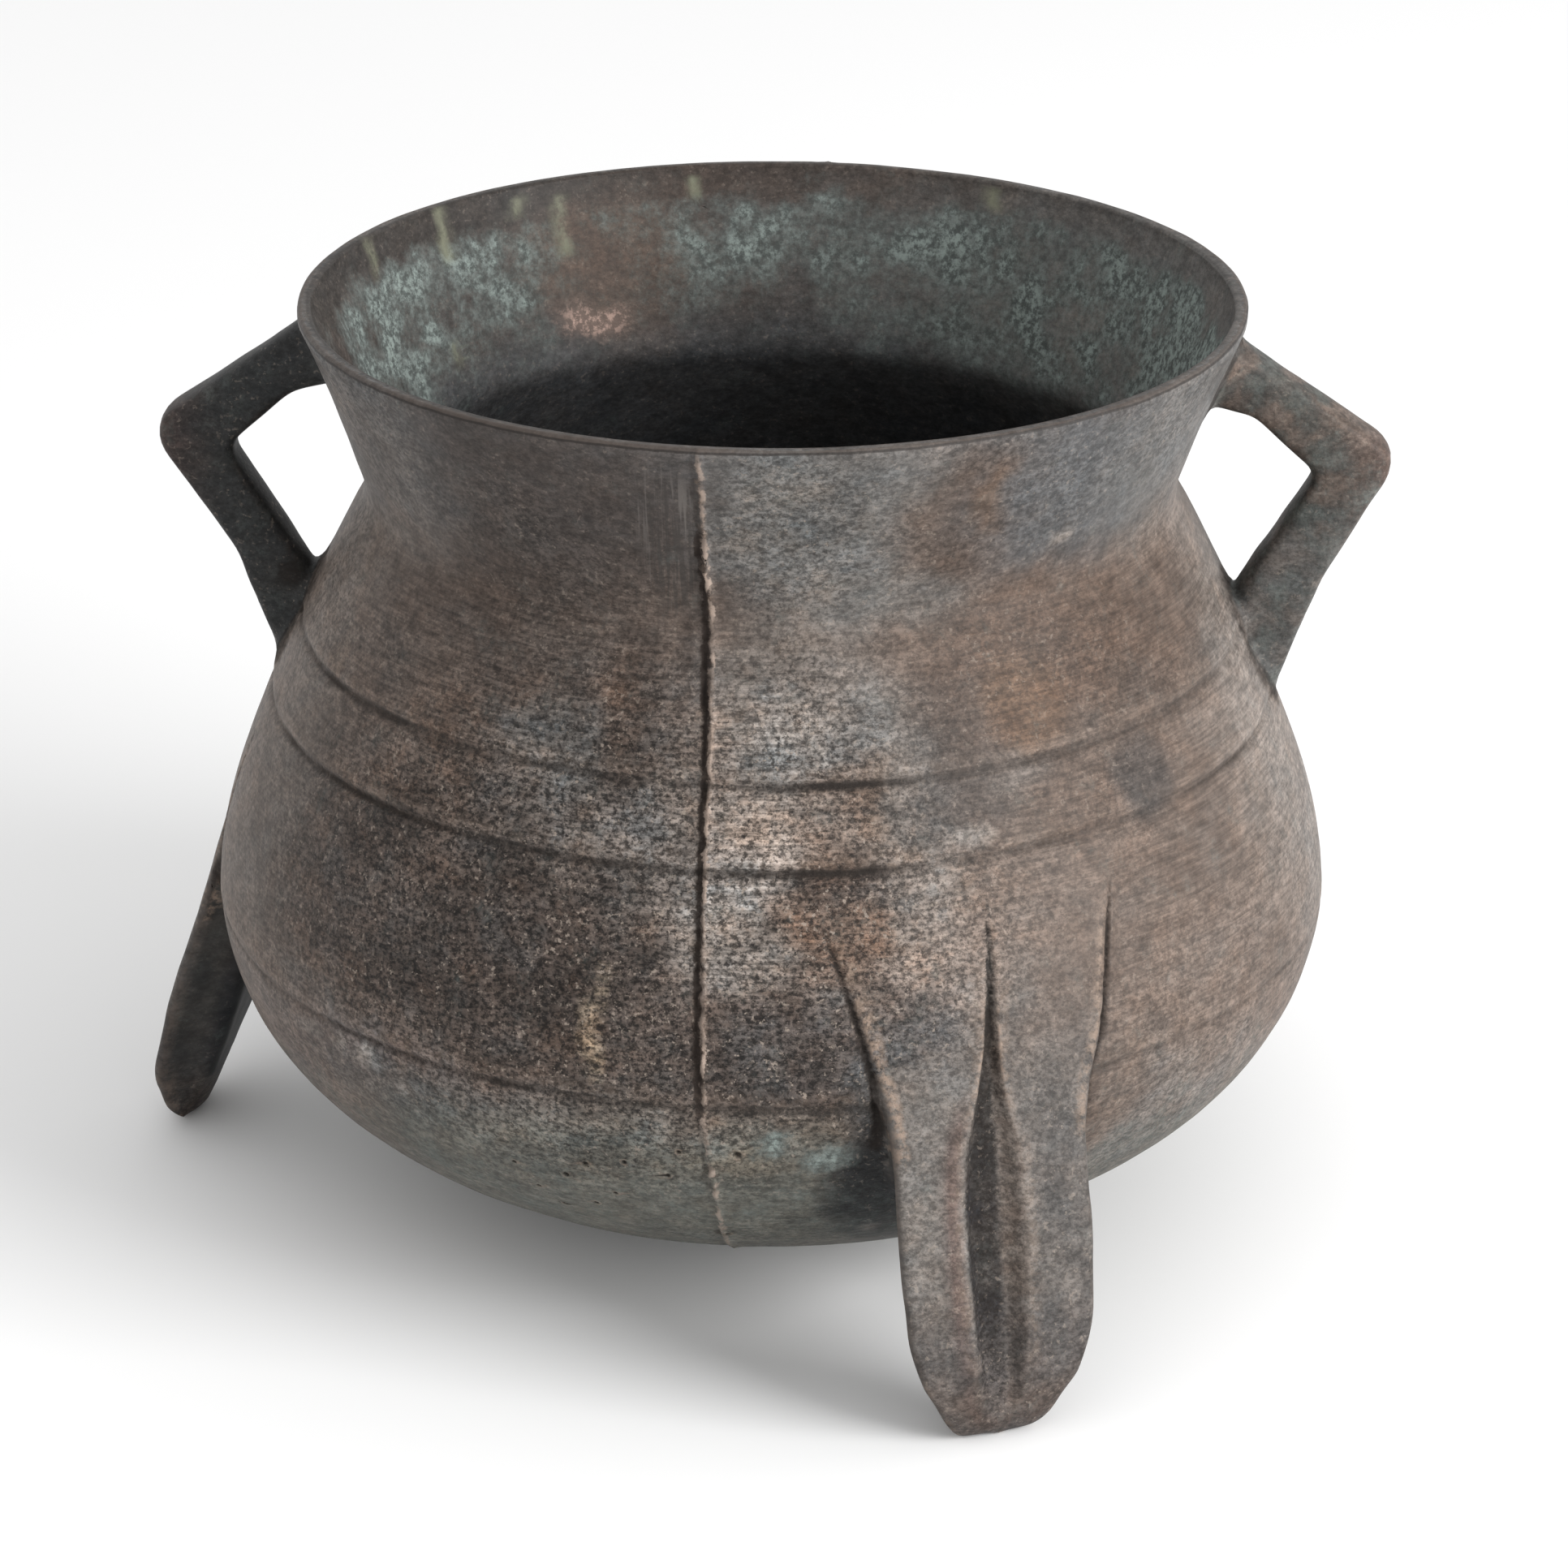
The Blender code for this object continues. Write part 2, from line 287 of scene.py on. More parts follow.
def handle_edges(fullness):
    """Matched points along the outer and the inner edge of a handle, from the flare to the shoulder."""
    elbow, inner_elbow = (0.1804, 0.2291), (0.1564, 0.2232)
    outer = [(0.1220, 0.2691, 0.0), (*elbow, 0.0090), (0.1582 + fullness, 0.1912, 0.0200),
             (0.1410 + fullness, 0.1448, 0.0)]
    inner = [(0.1180, 0.2444, 0.0), (0.1374, 0.2402, 0.0120), (*inner_elbow, 0.0050),
             (0.1341, 0.1858, 0.0015), (0.1240, 0.1850, 0.0)]
    return (stations(rounded_path(outer), elbow, UPPER_BAR_STATIONS, LOWER_BAR_STATIONS),
            stations(rounded_path(inner), inner_elbow, UPPER_BAR_STATIONS, LOWER_BAR_STATIONS))


def bar_section(thickness, width, rounding, arc_steps=5):
    """A rounded rectangle: (share of the way from the inner to the outer edge in metres, sideways)."""
    section = []
    corners = ((thickness - rounding, width / 2 - rounding, 0), (rounding, width / 2 - rounding, 90),
               (rounding, rounding - width / 2, 180), (thickness - rounding, rounding - width / 2, 270))
    for across, sideways, turn in corners:
        for step in range(arc_steps + 1):
            angle = math.radians(turn + 90 * step / arc_steps)
            section.append((across + rounding * math.cos(angle), sideways + rounding * math.sin(angle)))
    return section


def loft(name, rings, region):
    """A closed solid through rings of points, with flat ends."""
    shape = bmesh.new()
    layers = [[shape.verts.new(point) for point in ring] for ring in rings]
    for upper, lower in zip(layers, layers[1:]):
        for i, corner in enumerate(upper):
            j = (i + 1) % len(upper)
            shape.faces.new((corner, lower[i], lower[j], upper[j]))
    shape.faces.new(layers[0])
    shape.faces.new(list(reversed(layers[-1])))
    bmesh.ops.recalc_face_normals(shape, faces=shape.faces)
    mesh = bpy.data.meshes.new(name)
    shape.to_mesh(mesh)
    shape.free()
    return workpiece(name, mesh, region)


def handle(name, angle, lift, fullness):
    """One bent bar, lofted pointing along +X and then turned to its place."""
    outer, inner = handle_edges(fullness)
    rings = []
    for edge_out, edge_in in zip(outer, inner):
        reach = edge_out - edge_in
        thickness = np.linalg.norm(reach)
        across = reach / thickness
        ring = []
        for forward, sideways in bar_section(thickness, HANDLE_WIDTH, HANDLE_ROUNDING):
            radius, height = edge_in + across * forward
            ring.append((radius, sideways, height + lift))
        rings.append(ring)
    obj = loft(name, rings, HANDLE)
    obj.rotation_euler.z = math.radians(angle)
    return obj


limbs = [handle(f"handle_{number}", *place) for number, place in enumerate(HANDLES, start=1)]
print("handles", [len(obj.data.polygons) for obj in limbs], "faces")

# %% [markdown]
# ## The three grooved legs
#
# A leg is a tapering slab with two panels and a deep groove between them. It starts as nothing more
# than three cuts in the side of the body, swells out where the belly turns under, and ends in a blunt
# toe. Its shape is a loft of level slices. Every size of a slice is a track, a few (height, size) pairs
# joined by a smooth curve that never overshoots, so the leg can be tuned height by height.

# %% Smooth tracks


def follow(track, heights):
    """Sizes at the given heights on a track of (height, size) pairs."""
    points = np.array(sorted(track))
    knots, sizes = points[:, 0], points[:, 1]
    slopes = np.diff(sizes) / np.diff(knots)
    tangents = np.zeros(len(knots))
    tangents[0], tangents[-1] = slopes[0], slopes[-1]
    for i in range(1, len(knots) - 1):
        if slopes[i - 1] * slopes[i] > 0:
            tangents[i] = 2 * slopes[i - 1] * slopes[i] / (slopes[i - 1] + slopes[i])
    heights = np.clip(heights, knots[0], knots[-1])
    i = np.clip(np.searchsorted(knots, heights) - 1, 0, len(knots) - 2)
    span = knots[i + 1] - knots[i]
    t = (heights - knots[i]) / span
    return (sizes[i] * (2 * t**3 - 3 * t**2 + 1) + sizes[i + 1] * (3 * t**2 - 2 * t**3)
            + tangents[i] * span * (t**3 - 2 * t**2 + t) + tangents[i + 1] * span * (t**3 - t**2))


def smooth_step(low, high, value):
    """0 below low, 1 above high, and an easy curve between."""
    t = np.clip((value - low) / (high - low), 0.0, 1.0)
    return t * t * (3 - 2 * t)


# %% Tracks of a leg
LEG_TOP = 0.162
LEG_EDGE = 0.0026          # rounding of the long edges
LEG_BACK_EDGE = 0.0055
LEG_DRAFT = 0.0060         # each side leans in by this much towards the back
LEG_LEANS = (0.0090, -0.0030, 0.0020)
RIDGE = ((0.162, 0.1380), (0.130, 0.1556), (0.105, 0.1632), (0.0335, 0.1854), (0.018, 0.1889),
         (0.006, 0.1882), (0.0, 0.1838))
BACK = ((0.162, 0.1200), (0.016, 0.1710), (0.003, 0.1765), (0.0, 0.1795))
HALF_WIDTH = ((0.162, 0.0415), (0.144, 0.0408), (0.122, 0.0380), (0.104, 0.0334), (0.088, 0.0290),
              (0.076, 0.0281), (0.062, 0.0282), (0.034, 0.0270), (0.014, 0.0214), (0.004, 0.0158),
              (0.0, 0.0118))
CROWN = ((0.162, 0.0058), (0.118, 0.0047), (0.088, 0.0030), (0.050, 0.0020), (0.012, 0.0026), (0.0, 0.0014))
GROOVE = ((0.162, 0.0004), (0.146, 0.0005), (0.124, 0.0014), (0.107, 0.0024), (0.098, 0.0038),
          (0.090, 0.0058), (0.078, 0.0088), (0.060, 0.0094), (0.042, 0.0088), (0.025, 0.0076),
          (0.014, 0.0060), (0.002, 0.0010), (0.0, 0.0005))
GROOVE_DEPTH = ((0.162, 0.0), (0.146, 0.0), (0.139, 0.0007), (0.124, 0.0015), (0.107, 0.0024),
                (0.098, 0.0032), (0.088, 0.0041), (0.076, 0.0050), (0.058, 0.0056), (0.036, 0.0054),
                (0.016, 0.0028), (0.006, 0.0006), (0.0, 0.0))
GROOVE_SHIFT = ((0.162, 0.0), (0.110, 0.0), (0.090, -0.0011), (0.016, -0.0011), (0.003, 0.0), (0.0, 0.0))
GROOVE_FLOOR = 0.42        # share of the groove's width that its flat floor takes
GROOVE_POINTS = 9
PANEL_POINTS = 9
EDGE_POINTS = 5


def sideways_shift(height, lean):
    """How far a leg's root leans along the belly at a height."""
    return lean * (height / LEG_TOP) ** 1.5


# %% Slice a leg


def leg_slice(height, lean):
    """One level slice through a leg that points along +X: (radius, sideways) round its outline."""
    ridge, back, half, crown, groove, depth = (float(follow(track, height)) for track in
                                               (RIDGE, BACK, HALF_WIDTH, CROWN, GROOVE, GROOVE_DEPTH))
    flat = half - LEG_EDGE

    def panel(sideways):
        """How far out the gently crowned face lies."""
        return ridge - crown * (sideways / half) ** 2

    def one_side(off_centre):
        """Half of the outline, from the groove's middle round the edge to the middle of the back."""
        side = []
        for step in range(GROOVE_POINTS):
            share = step / GROOVE_POINTS
            sunk = 1.0 - float(smooth_step(GROOVE_FLOOR, 1.0, share))
            side.append((panel(groove * share) - depth * sunk, off_centre + groove * share))
        for step in range(PANEL_POINTS):
            sideways = off_centre + groove + (flat - off_centre - groove) * step / (PANEL_POINTS - 1)
            side.append((panel(sideways), sideways))
        for step in range(1, EDGE_POINTS):
            angle = math.radians(90 * step / (EDGE_POINTS - 1))
            side.append((panel(flat) - LEG_EDGE * (1 - math.cos(angle)), flat + LEG_EDGE * math.sin(angle)))
        front = side[-1][0]
        back_edge = min(LEG_BACK_EDGE, (front - back) * 0.7)
        for share in (0.25, 0.5, 0.75):
            side.append((front + (back + back_edge - front) * share, half - LEG_DRAFT * share))
        for step in range(EDGE_POINTS):
            angle = math.radians(90 * step / (EDGE_POINTS - 1))
            side.append((back + back_edge * (1 - math.sin(angle)),
                         half - LEG_DRAFT - back_edge * (1 - math.cos(angle))))
        side.append((back, (half - LEG_DRAFT - back_edge) / 2))
        return side

    off_centre = float(follow(GROOVE_SHIFT, height))
    side = one_side(off_centre)
    mirrored = [(radius, -sideways) for radius, sideways in reversed(one_side(-off_centre)[1:])]
    shift = sideways_shift(height, lean)
    return [(radius, sideways + shift) for radius, sideways in side + mirrored]


# %% Loft the legs
LEG_SLICES = 72


def leg(name, angle, lean):
    """One leg, lofted slice by slice pointing along +X and then turned to its place."""
    rings = []
    for index in range(LEG_SLICES):
        height = LEG_TOP * (1 - index / (LEG_SLICES - 1)) ** 1.45
        rings.append([(radius, sideways, height) for radius, sideways in leg_slice(height, lean)])
    obj = loft(name, rings, LEG)
    obj.rotation_euler.z = math.radians(angle)
    return obj


legs = [leg(f"leg_{number}", *place) for number, place in enumerate(zip(LEG_ANGLES, LEG_LEANS), start=1)]
limbs += legs
print("legs", [len(obj.data.polygons) for obj in legs], "faces")

# %% [markdown]
# ## Casting it in one piece
#
# The mould held all of these hollows as one, so the finished bronze has no joints. Boolean modifiers
# do the pouring: limbs are united with the body, and the core is cut out last, which also trims
# whatever pokes through the wall. The exact solver is slower than the fast one, but it copes with
# legs that lie almost flush with the belly.

# %% Unite the limbs and cut the core


def boolean(name, operation, other):
    """Adds a Boolean modifier to the body, with an object or a whole collection."""
    modifier = body.modifiers.new(name, 'BOOLEAN')
    modifier.operation = operation
    modifier.solver = 'EXACT'
    if isinstance(other, bpy.types.Collection):
        modifier.operand_type = 'COLLECTION'
        modifier.collection = other
    else:
        modifier.object = other


cast_on = bpy.data.collections.new("cast_on")
bpy.context.scene.collection.children.link(cast_on)
for limb in limbs:
    workshop.objects.unlink(limb)
    cast_on.objects.link(limb)
boolean("limbs", 'UNION', cast_on)
boolean("hollow", 'DIFFERENCE', core)
skin = bmesh.new()
cast_mesh = mesh_as_made(body)
skin.from_mesh(cast_mesh)
bmesh.ops.remove_doubles(skin, verts=skin.verts, dist=0.00005)
bmesh.ops.triangulate(skin, faces=skin.faces)
for bench_collection in (cast_on, workshop):
    for obj in list(bench_collection.objects):
        bpy.data.objects.remove(obj)
    bpy.data.collections.remove(bench_collection)
print("cast in one piece:", len(skin.faces), "triangles, open edges:",
      sum(1 for edge in skin.edges if len(edge.link_faces) != 2))

# %% [markdown]
# ## A finer skin only where it is needed
#
# The scratches and cuts in this surface are a millimetre or two wide, but most of the pot is a plain
# curve. Subdividing everything would make millions of faces. Instead each edge is measured against
# the length that its place can do with, and only the ones that are too long are split, again and
# again. The lines to follow are the casting seams, the three turned lines, and the cuts on each leg.

# %% Where a point is, seen from the turning axis


def polar(points):
    """Angle in degrees, distance from the axis, and height of each point."""
    x, y, heights = points.T
    return np.degrees(np.arctan2(y, x)), np.hypot(x, y), heights


def turn_between(angles, target):
    """Signed difference of two angles in degrees, from -180 to 180."""
    return (angles - target + 180.0) % 360.0 - 180.0


# %% The casting seams
# The two halves of the mould met along one line in front and one behind: (height, angle).
FRONT_SEAM = ((0.272, -95.1), (0.240, -95.1), (0.218, -94.7), (0.180, -93.8), (0.155, -93.7),
              (0.120, -93.4), (0.090, -93.1), (0.065, -92.4), (0.005, -92.0))
BACK_SEAM = ((0.272, 86.0), (0.218, 86.9), (0.150, 86.2), (0.090, 87.2), (0.005, 88.0))


def along_seam(points, track):
    """How far each point lies beside a seam, in metres, positive on the side of larger angles."""
    angles, radii, heights = polar(points)
    wobble = np.array([noise.noise(Vector((0.0, 7.0, z * 260.0))) for z in heights]) * 0.0004
    return np.radians(turn_between(angles, follow(track, heights))) * radii + wobble


# %% The three turned lines
TURNED_LINES = (0.1774, 0.1562, 0.0936)
# Gas bubbles left small pits low on the belly: (angle, height, radius).
PITS = ((-105.5, 0.0712, 0.0012), (-101.3, 0.0740, 0.0009), (-97.0, 0.0705, 0.0009),
        (-108.0, 0.0655, 0.0011), (-112.0, 0.0575, 0.0008), (-103.0, 0.0605, 0.0008),
        (-105.7, 0.0545, 0.0009), (-110.0, 0.0505, 0.0008), (-95.7, 0.0795, 0.0008),
        (-113.8, 0.0662, 0.0008), (-90.0, 0.0793, 0.0014), (-91.6, 0.0440, 0.0010))
# Pale tears run down inside the lip: (angle, top, bottom).
TEARS = ((144.2, 0.2718, 0.2560), (159.6, 0.2718, 0.2600), (123.4, 0.2680, 0.2500), (131.3, 0.2690, 0.2630),
         (104.0, 0.2690, 0.2620), (61.5, 0.2700, 0.2630), (147.5, 0.2350, 0.2270))


def from_line(points, line_height):
    """How far each point lies above a turned line, measured along the side of the pot."""
    slope = (skin_radius(line_height + 0.002) - skin_radius(line_height - 0.002)) / 0.004
    return (points[:, 2] - line_height) * math.hypot(1.0, slope)


# %% The cuts at the edges of each leg's root
# Each panel ends in a sharp arris, and the cut lies just outside it: (height, distance from the middle).
LEFT_ARRIS = ((0.142, 0.0455), (0.135, 0.0427), (0.122, 0.0382), (0.110, 0.0345), (0.096, 0.0302),
              (0.087, 0.0284), (0.074, 0.0280))
RIGHT_ARRIS = ((0.142, 0.0385), (0.134, 0.0368), (0.123, 0.0354), (0.113, 0.0346), (0.104, 0.0330),
               (0.0985, 0.0310), (0.0935, 0.0290), (0.074, 0.0280))
CUTS = ((-1, LEFT_ARRIS), (1, RIGHT_ARRIS))


def beside_leg(points, angle, lean):
    """How far each point lies to the side of a leg's own leaning centre line."""
    angles, radii, heights = polar(points)
    lifted = np.clip(heights, 0.0, LEG_TOP)
    return radii * np.sin(np.radians(turn_between(angles, angle))) - sideways_shift(lifted, lean)


LEG_SECTOR = 40.0      # degrees to each side of a leg's middle that can belong to it


def in_front(points, angle):
    """True on the side of the pot that a leg stands on."""
    angles, _, _ = polar(points)
    return np.abs(turn_between(angles, angle)) < LEG_SECTOR


# %% Split the long edges


def edge_limits(points):
    """The longest edge that each place can do with, in metres."""
    angles, radii, heights = polar(points)
    outer = radii > skin_radius(heights) - 0.0022
    limit = np.where(outer, 0.0045, 0.0095)
    limit = np.where(outer & (heights > HEIGHT - 0.004), 0.0032, limit)
    for track, finest in ((FRONT_SEAM, 0.0008), (BACK_SEAM, 0.0016)):
        beside = np.abs(along_seam(points, track))
        limit = np.where(outer & (beside < 0.0040), np.minimum(limit, finest + beside * 0.45), limit)
    for line_height in TURNED_LINES:
        away = np.abs(from_line(points, line_height) + 0.0006)
        limit = np.where(outer & (away < 0.0045), np.minimum(limit, 0.0013 + away * 0.5), limit)
    for angle, lean in zip(LEG_ANGLES, LEG_LEANS):
        beside = beside_leg(points, angle, lean)
        near = in_front(points, angle) & outer
        for side, track in CUTS:
            away = np.abs(beside * side - follow(track, heights) - 0.0006)
            on_cut = near & (heights > 0.076) & (heights < 0.144) & (away < 0.0045)
            limit = np.where(on_cut, np.minimum(limit, 0.0010 + away * 0.5), limit)
        arris = np.abs(np.abs(beside - follow(GROOVE_SHIFT, heights)) - follow(GROOVE, heights))
        on_arris = near & (heights < 0.148) & (arris < 0.004)
        finest = np.where(heights > 0.09, 0.0010, 0.0016)
        limit = np.where(on_arris, np.minimum(limit, finest + arris * 0.45), limit)
    for angle, height, radius in PITS:
        away = np.hypot(np.radians(turn_between(angles, angle)) * radii, from_line(points, height))
        limit = np.where(outer & (away < 3 * radius), np.minimum(limit, radius * 0.45), limit)
    in_mouth = ~outer & (heights > 0.2205)
    limit = np.where(in_mouth, 0.0050, limit)
    for angle, top, bottom in TEARS:
        away = np.abs(np.radians(turn_between(angles, angle)) * radii)
        on_tear = in_mouth & (away < 0.004) & (heights < top + 0.002) & (heights > bottom - 0.002)
        limit = np.where(on_tear, 0.0017, limit)
    return limit


def refine(shape, limits, rounds):
    """Splits every edge that is longer than its place allows, and leaves triangles."""
    for _ in range(rounds):
        shape.verts.index_update()
        shape.edges.ensure_lookup_table()
        points = np.array([vertex.co[:] for vertex in shape.verts])
        ends = np.array([(edge.verts[0].index, edge.verts[1].index) for edge in shape.edges])
        first, second = points[ends[:, 0]], points[ends[:, 1]]
        too_long = np.linalg.norm(second - first, axis=1) > limits((first + second) / 2) * 1.25
        chosen = [shape.edges[i] for i in np.nonzero(too_long)[0]]
        if not chosen:
            break
        bmesh.ops.subdivide_edges(shape, edges=chosen, cuts=1)
        many_sided = [face for face in shape.faces if len(face.verts) > 3]
        bmesh.ops.triangulate(shape, faces=many_sided)


refine(skin, edge_limits, 6)
print("refined skin:", len(skin.faces), "triangles")

# %% [markdown]
# ## Melting the joins together
#
# A Boolean leaves a knife-sharp crease where a limb meets the wall, and nothing that was modelled in
# clay and poured in bronze has one. A Bevel can't be trusted on such a tangled edge loop, so the
# points near each join are relaxed towards their neighbours a few dozen times instead, fully at the
# crease and less and less away from it, which leaves a soft fillet. From here on the skin is a plain
# array of points, because arithmetic on whole arrays is far faster than visiting points one by one.

# %% Take the skin out of the modelling tools
cauldron_mesh = bpy.data.meshes.new("cauldron_skin")
skin.to_mesh(cauldron_mesh)
skin.free()
vertex_count = len(cauldron_mesh.vertices)


def read(collection, attribute, width, kind=np.float64):
    """Copies one property of all points, edges or faces into an array."""
    values = np.empty(len(collection) * width, dtype=kind)
    collection.foreach_get(attribute, values)
    return values.reshape(-1, width) if width > 1 else values


points = read(cauldron_mesh.vertices, "co", 3)
ends = read(cauldron_mesh.edges, "vertices", 2, np.int32)
corners = read(cauldron_mesh.polygons, "vertices", 3, np.int32)
face_regions = read(cauldron_mesh.polygons, "material_index", 1, np.int32)


def touches(region):
    """True for every point that belongs to at least one face of a region."""
    found = np.zeros(vertex_count, dtype=bool)
    found[corners[face_regions == region].ravel()] = True
    return found


on_outside, on_leg, on_handle, on_inside = (touches(region) for region in (OUTSIDE, LEG, HANDLE, INSIDE))


def average_of_neighbours(values):
    """The mean of each point's neighbours, for an array of points or of single values."""
    columns = values.reshape(vertex_count, -1)
    meeting = np.bincount(ends.ravel(), minlength=vertex_count)
    result = np.empty_like(columns)
    for i in range(columns.shape[1]):
        total = np.bincount(ends[:, 0], weights=columns[ends[:, 1], i], minlength=vertex_count)
        total += np.bincount(ends[:, 1], weights=columns[ends[:, 0], i], minlength=vertex_count)
        result[:, i] = total / meeting
    return result.reshape(values.shape)


def distance_to(chosen, reach):
    """Distance from every point to the nearest chosen one, no further than a reach."""
    tree = KDTree(int(chosen.sum()))
    for index in np.nonzero(chosen)[0]:
        tree.insert(points[index], index)
    tree.balance()
    middle = points[chosen]
    low, high = middle.min(axis=0) - reach, middle.max(axis=0) + reach
    near = np.all((points > low) & (points < high), axis=1)
    distances = np.full(vertex_count, reach)
    for index in np.nonzero(near)[0]:
        distances[index] = min(tree.find(points[index])[2], reach)
    return distances


def bump(distance, width):
    """A smooth hump of height 1 at distance 0, down to 0 at the given width."""
    t = np.clip(1.0 - np.abs(distance) / width, 0.0, 1.0)
    return t * t * (3 - 2 * t)


# %% Relax the creases
FILLETS = ((on_leg & on_outside, 0.0042, 14), (on_handle & on_outside, 0.0100, 32))   # where, reach, rounds
first_normals = read(cauldron_mesh.vertex_normals, "vector", 3)
for crease, reach, rounds in FILLETS:
    strength = 0.6 * smooth_step(reach, 0.3 * reach, distance_to(crease, reach))[:, None]
    for _ in range(rounds):
        shift = average_of_neighbours(points) - points
        inwards = np.minimum(np.einsum("ij,ij->i", shift, first_normals), 0.0)
        points += (shift - inwards[:, None] * first_normals) * strength      # fills, never shaves
for step in (0.50, -0.53) * 12:      # in, then out again: bumps go and the arms keep their thickness
    points += (average_of_neighbours(points) - points) * (step * on_handle)[:, None]
neck_strength = (bump(points[:, 2] - NECK[1], 0.011) * on_outside * 0.6)[:, None]
for _ in range(30):
    points += (average_of_neighbours(points) - points) * neck_strength
toe_strength = (on_leg * smooth_step(0.018, 0.009, points[:, 2]) * 0.5)[:, None]
for _ in range(18):
    points += (average_of_neighbours(points) - points) * toe_strength
points[:, 2] -= points[:, 2].min() * smooth_step(0.020, 0.004, points[:, 2])
print("creases relaxed round the legs, the handles, the neck and the toes")

# %% [markdown]
# ## What the founder left behind
#
# Three marks tell how the pot was made. The turned lines come from a notch in the board that shaped
# the clay. The seam in front is where the two halves of the mould didn't quite meet: metal ran into
# the gap and was broken off, so it is a torn ridge with a dark crevice beside it. And each leg grows
# out of three knife cuts. All of them push the points in or out. A texture could fake them, but then
# they would vanish at the edge of the pot and catch no light.

# %% Tools for pushing the surface


def uneven(places, size, octaves=2, seed=0.0):
    """Soft noise at each place, about -1 to 1, with lumps of a given size in metres."""
    offset = Vector((seed, seed * 1.7, -seed))
    return np.array([noise.fractal(Vector(place) / size + offset, 0.9, 2.0, octaves) for place in places])


def store(values):
    """Writes the points back into the mesh."""
    cauldron_mesh.vertices.foreach_set("co", values.ravel())
    cauldron_mesh.update()


store(points)
normals = read(cauldron_mesh.vertex_normals, "vector", 3)
angles, radii, heights = polar(points)
outwards = points * np.array((1.0, 1.0, 0.0)) / np.maximum(radii, 1e-6)[:, None]
outer_skin = (on_outside | on_leg) & ~on_inside
push = np.zeros(vertex_count)        # out along the surface's own direction
carve = np.zeros(vertex_count)       # level, away from the turning axis
wear_and_highlight = np.zeros(vertex_count)      # where raised metal is worn pale, and where a painted highlight lightens an edge
dirt_and_shade = np.zeros(vertex_count)        # where a hollow holds dirt, and where painted shade darkens a recess

# %% A hand-made unevenness all over
push += 0.00030 * uneven(points, 0.045) + 0.00010 * uneven(points, 0.012, seed=3.0)
push += (on_leg | on_handle) * 0.00035 * uneven(points, 0.020, seed=9.0)
push[on_inside & (heights > HEIGHT - 0.0005)] *= 0.3
print("uneven by up to", round(1000 * float(np.abs(push).max()), 2), "mm")

# %% The turned lines
line_strength = np.clip(0.80 + 0.50 * uneven(points, 0.040, seed=21.0), 0.2, 1.2)
line_strength *= np.where(turn_between(angles, -30.0) > -35.0, 0.75, 1.0)
open_belly = on_outside & ~on_leg & ~on_handle & ~on_inside
for line_height, depth in zip(TURNED_LINES, (0.00090, 0.00110, 0.00055)):
    away = from_line(points, line_height) + 0.0005 * uneven(points, 0.080, seed=5.0)
    notch = bump(away, 0.0021)
    ridge = bump(away - 0.0032, 0.0026)
    push += open_belly * (0.5 * ridge - notch) * depth * line_strength
    # The notch is darkened with dirt and painted shade, and the ridge above it gets worn metal and a painted
    # highlight.
    dirt_and_shade += open_belly * notch * line_strength * 0.5
    wear_and_highlight += open_belly * ridge * line_strength * 0.3

# %% The seams
# Sizes along the front seam: (height, metres). The crevice is widest over the belly.
CREVICE = ((0.272, 0.00015), (0.255, 0.00030), (0.243, 0.00050), (0.236, 0.00090), (0.200, 0.00130),
           (0.130, 0.00125), (0.100, 0.00095), (0.090, 0.00020), (0.005, 0.00010))
LIP_OF_METAL = ((0.272, 0.00035), (0.245, 0.00060), (0.238, 0.00160), (0.228, 0.00130), (0.218, 0.00060),
                (0.150, 0.00060), (0.090, 0.00045), (0.070, 0.00050), (0.030, 0.00035), (0.005, 0.00025))
# How dark the side of the seam beside the crevice is painted at each height: a stain and painted shade on the
# ridge's unlit side.
SEAM_STAIN_AND_SHADE = ((0.272, 0.15), (0.225, 0.20), (0.216, 0.85), (0.196, 0.85), (0.180, 0.60), (0.100, 0.75),
         (0.094, 0.1), (0.005, 0.0))
beads = uneven(points, 0.0030, seed=31.0)
ragged = np.clip(1.0 + 1.1 * uneven(points, 0.0070, seed=33.0), 0.10, 2.0)
beside = along_seam(points, FRONT_SEAM)
wander = 0.0007 * uneven(points, 0.0050, seed=37.0)
crevice = bump(beside + 0.0014 + wander, 0.0018) * np.clip(1.1 - 0.8 * beads, 0.1, 1.4)
metal_lip = bump(beside + 0.5 * wander, 0.0012) * ragged
push += outer_skin * (follow(LIP_OF_METAL, heights) * metal_lip - follow(CREVICE, heights) * crevice)
push += outer_skin * 0.00025 * smooth_step(-0.0008, 0.0002, beside) * bump(beside, 0.0100)
dirt_and_shade += outer_skin * bump(beside + 0.0020, 0.0030) * follow(SEAM_STAIN_AND_SHADE, heights) * 0.6
near_seam = outer_skin * bump(beside, 0.020) ** 0.2
across_seam = beside.copy()
beside = along_seam(points, BACK_SEAM)
# The back seam: a low ridge with dirt and painted shade along one side.
push += outer_skin * 0.00035 * bump(beside, 0.0016) * ragged
dirt_and_shade += outer_skin * 0.5 * bump(beside + 0.0014, 0.0014)

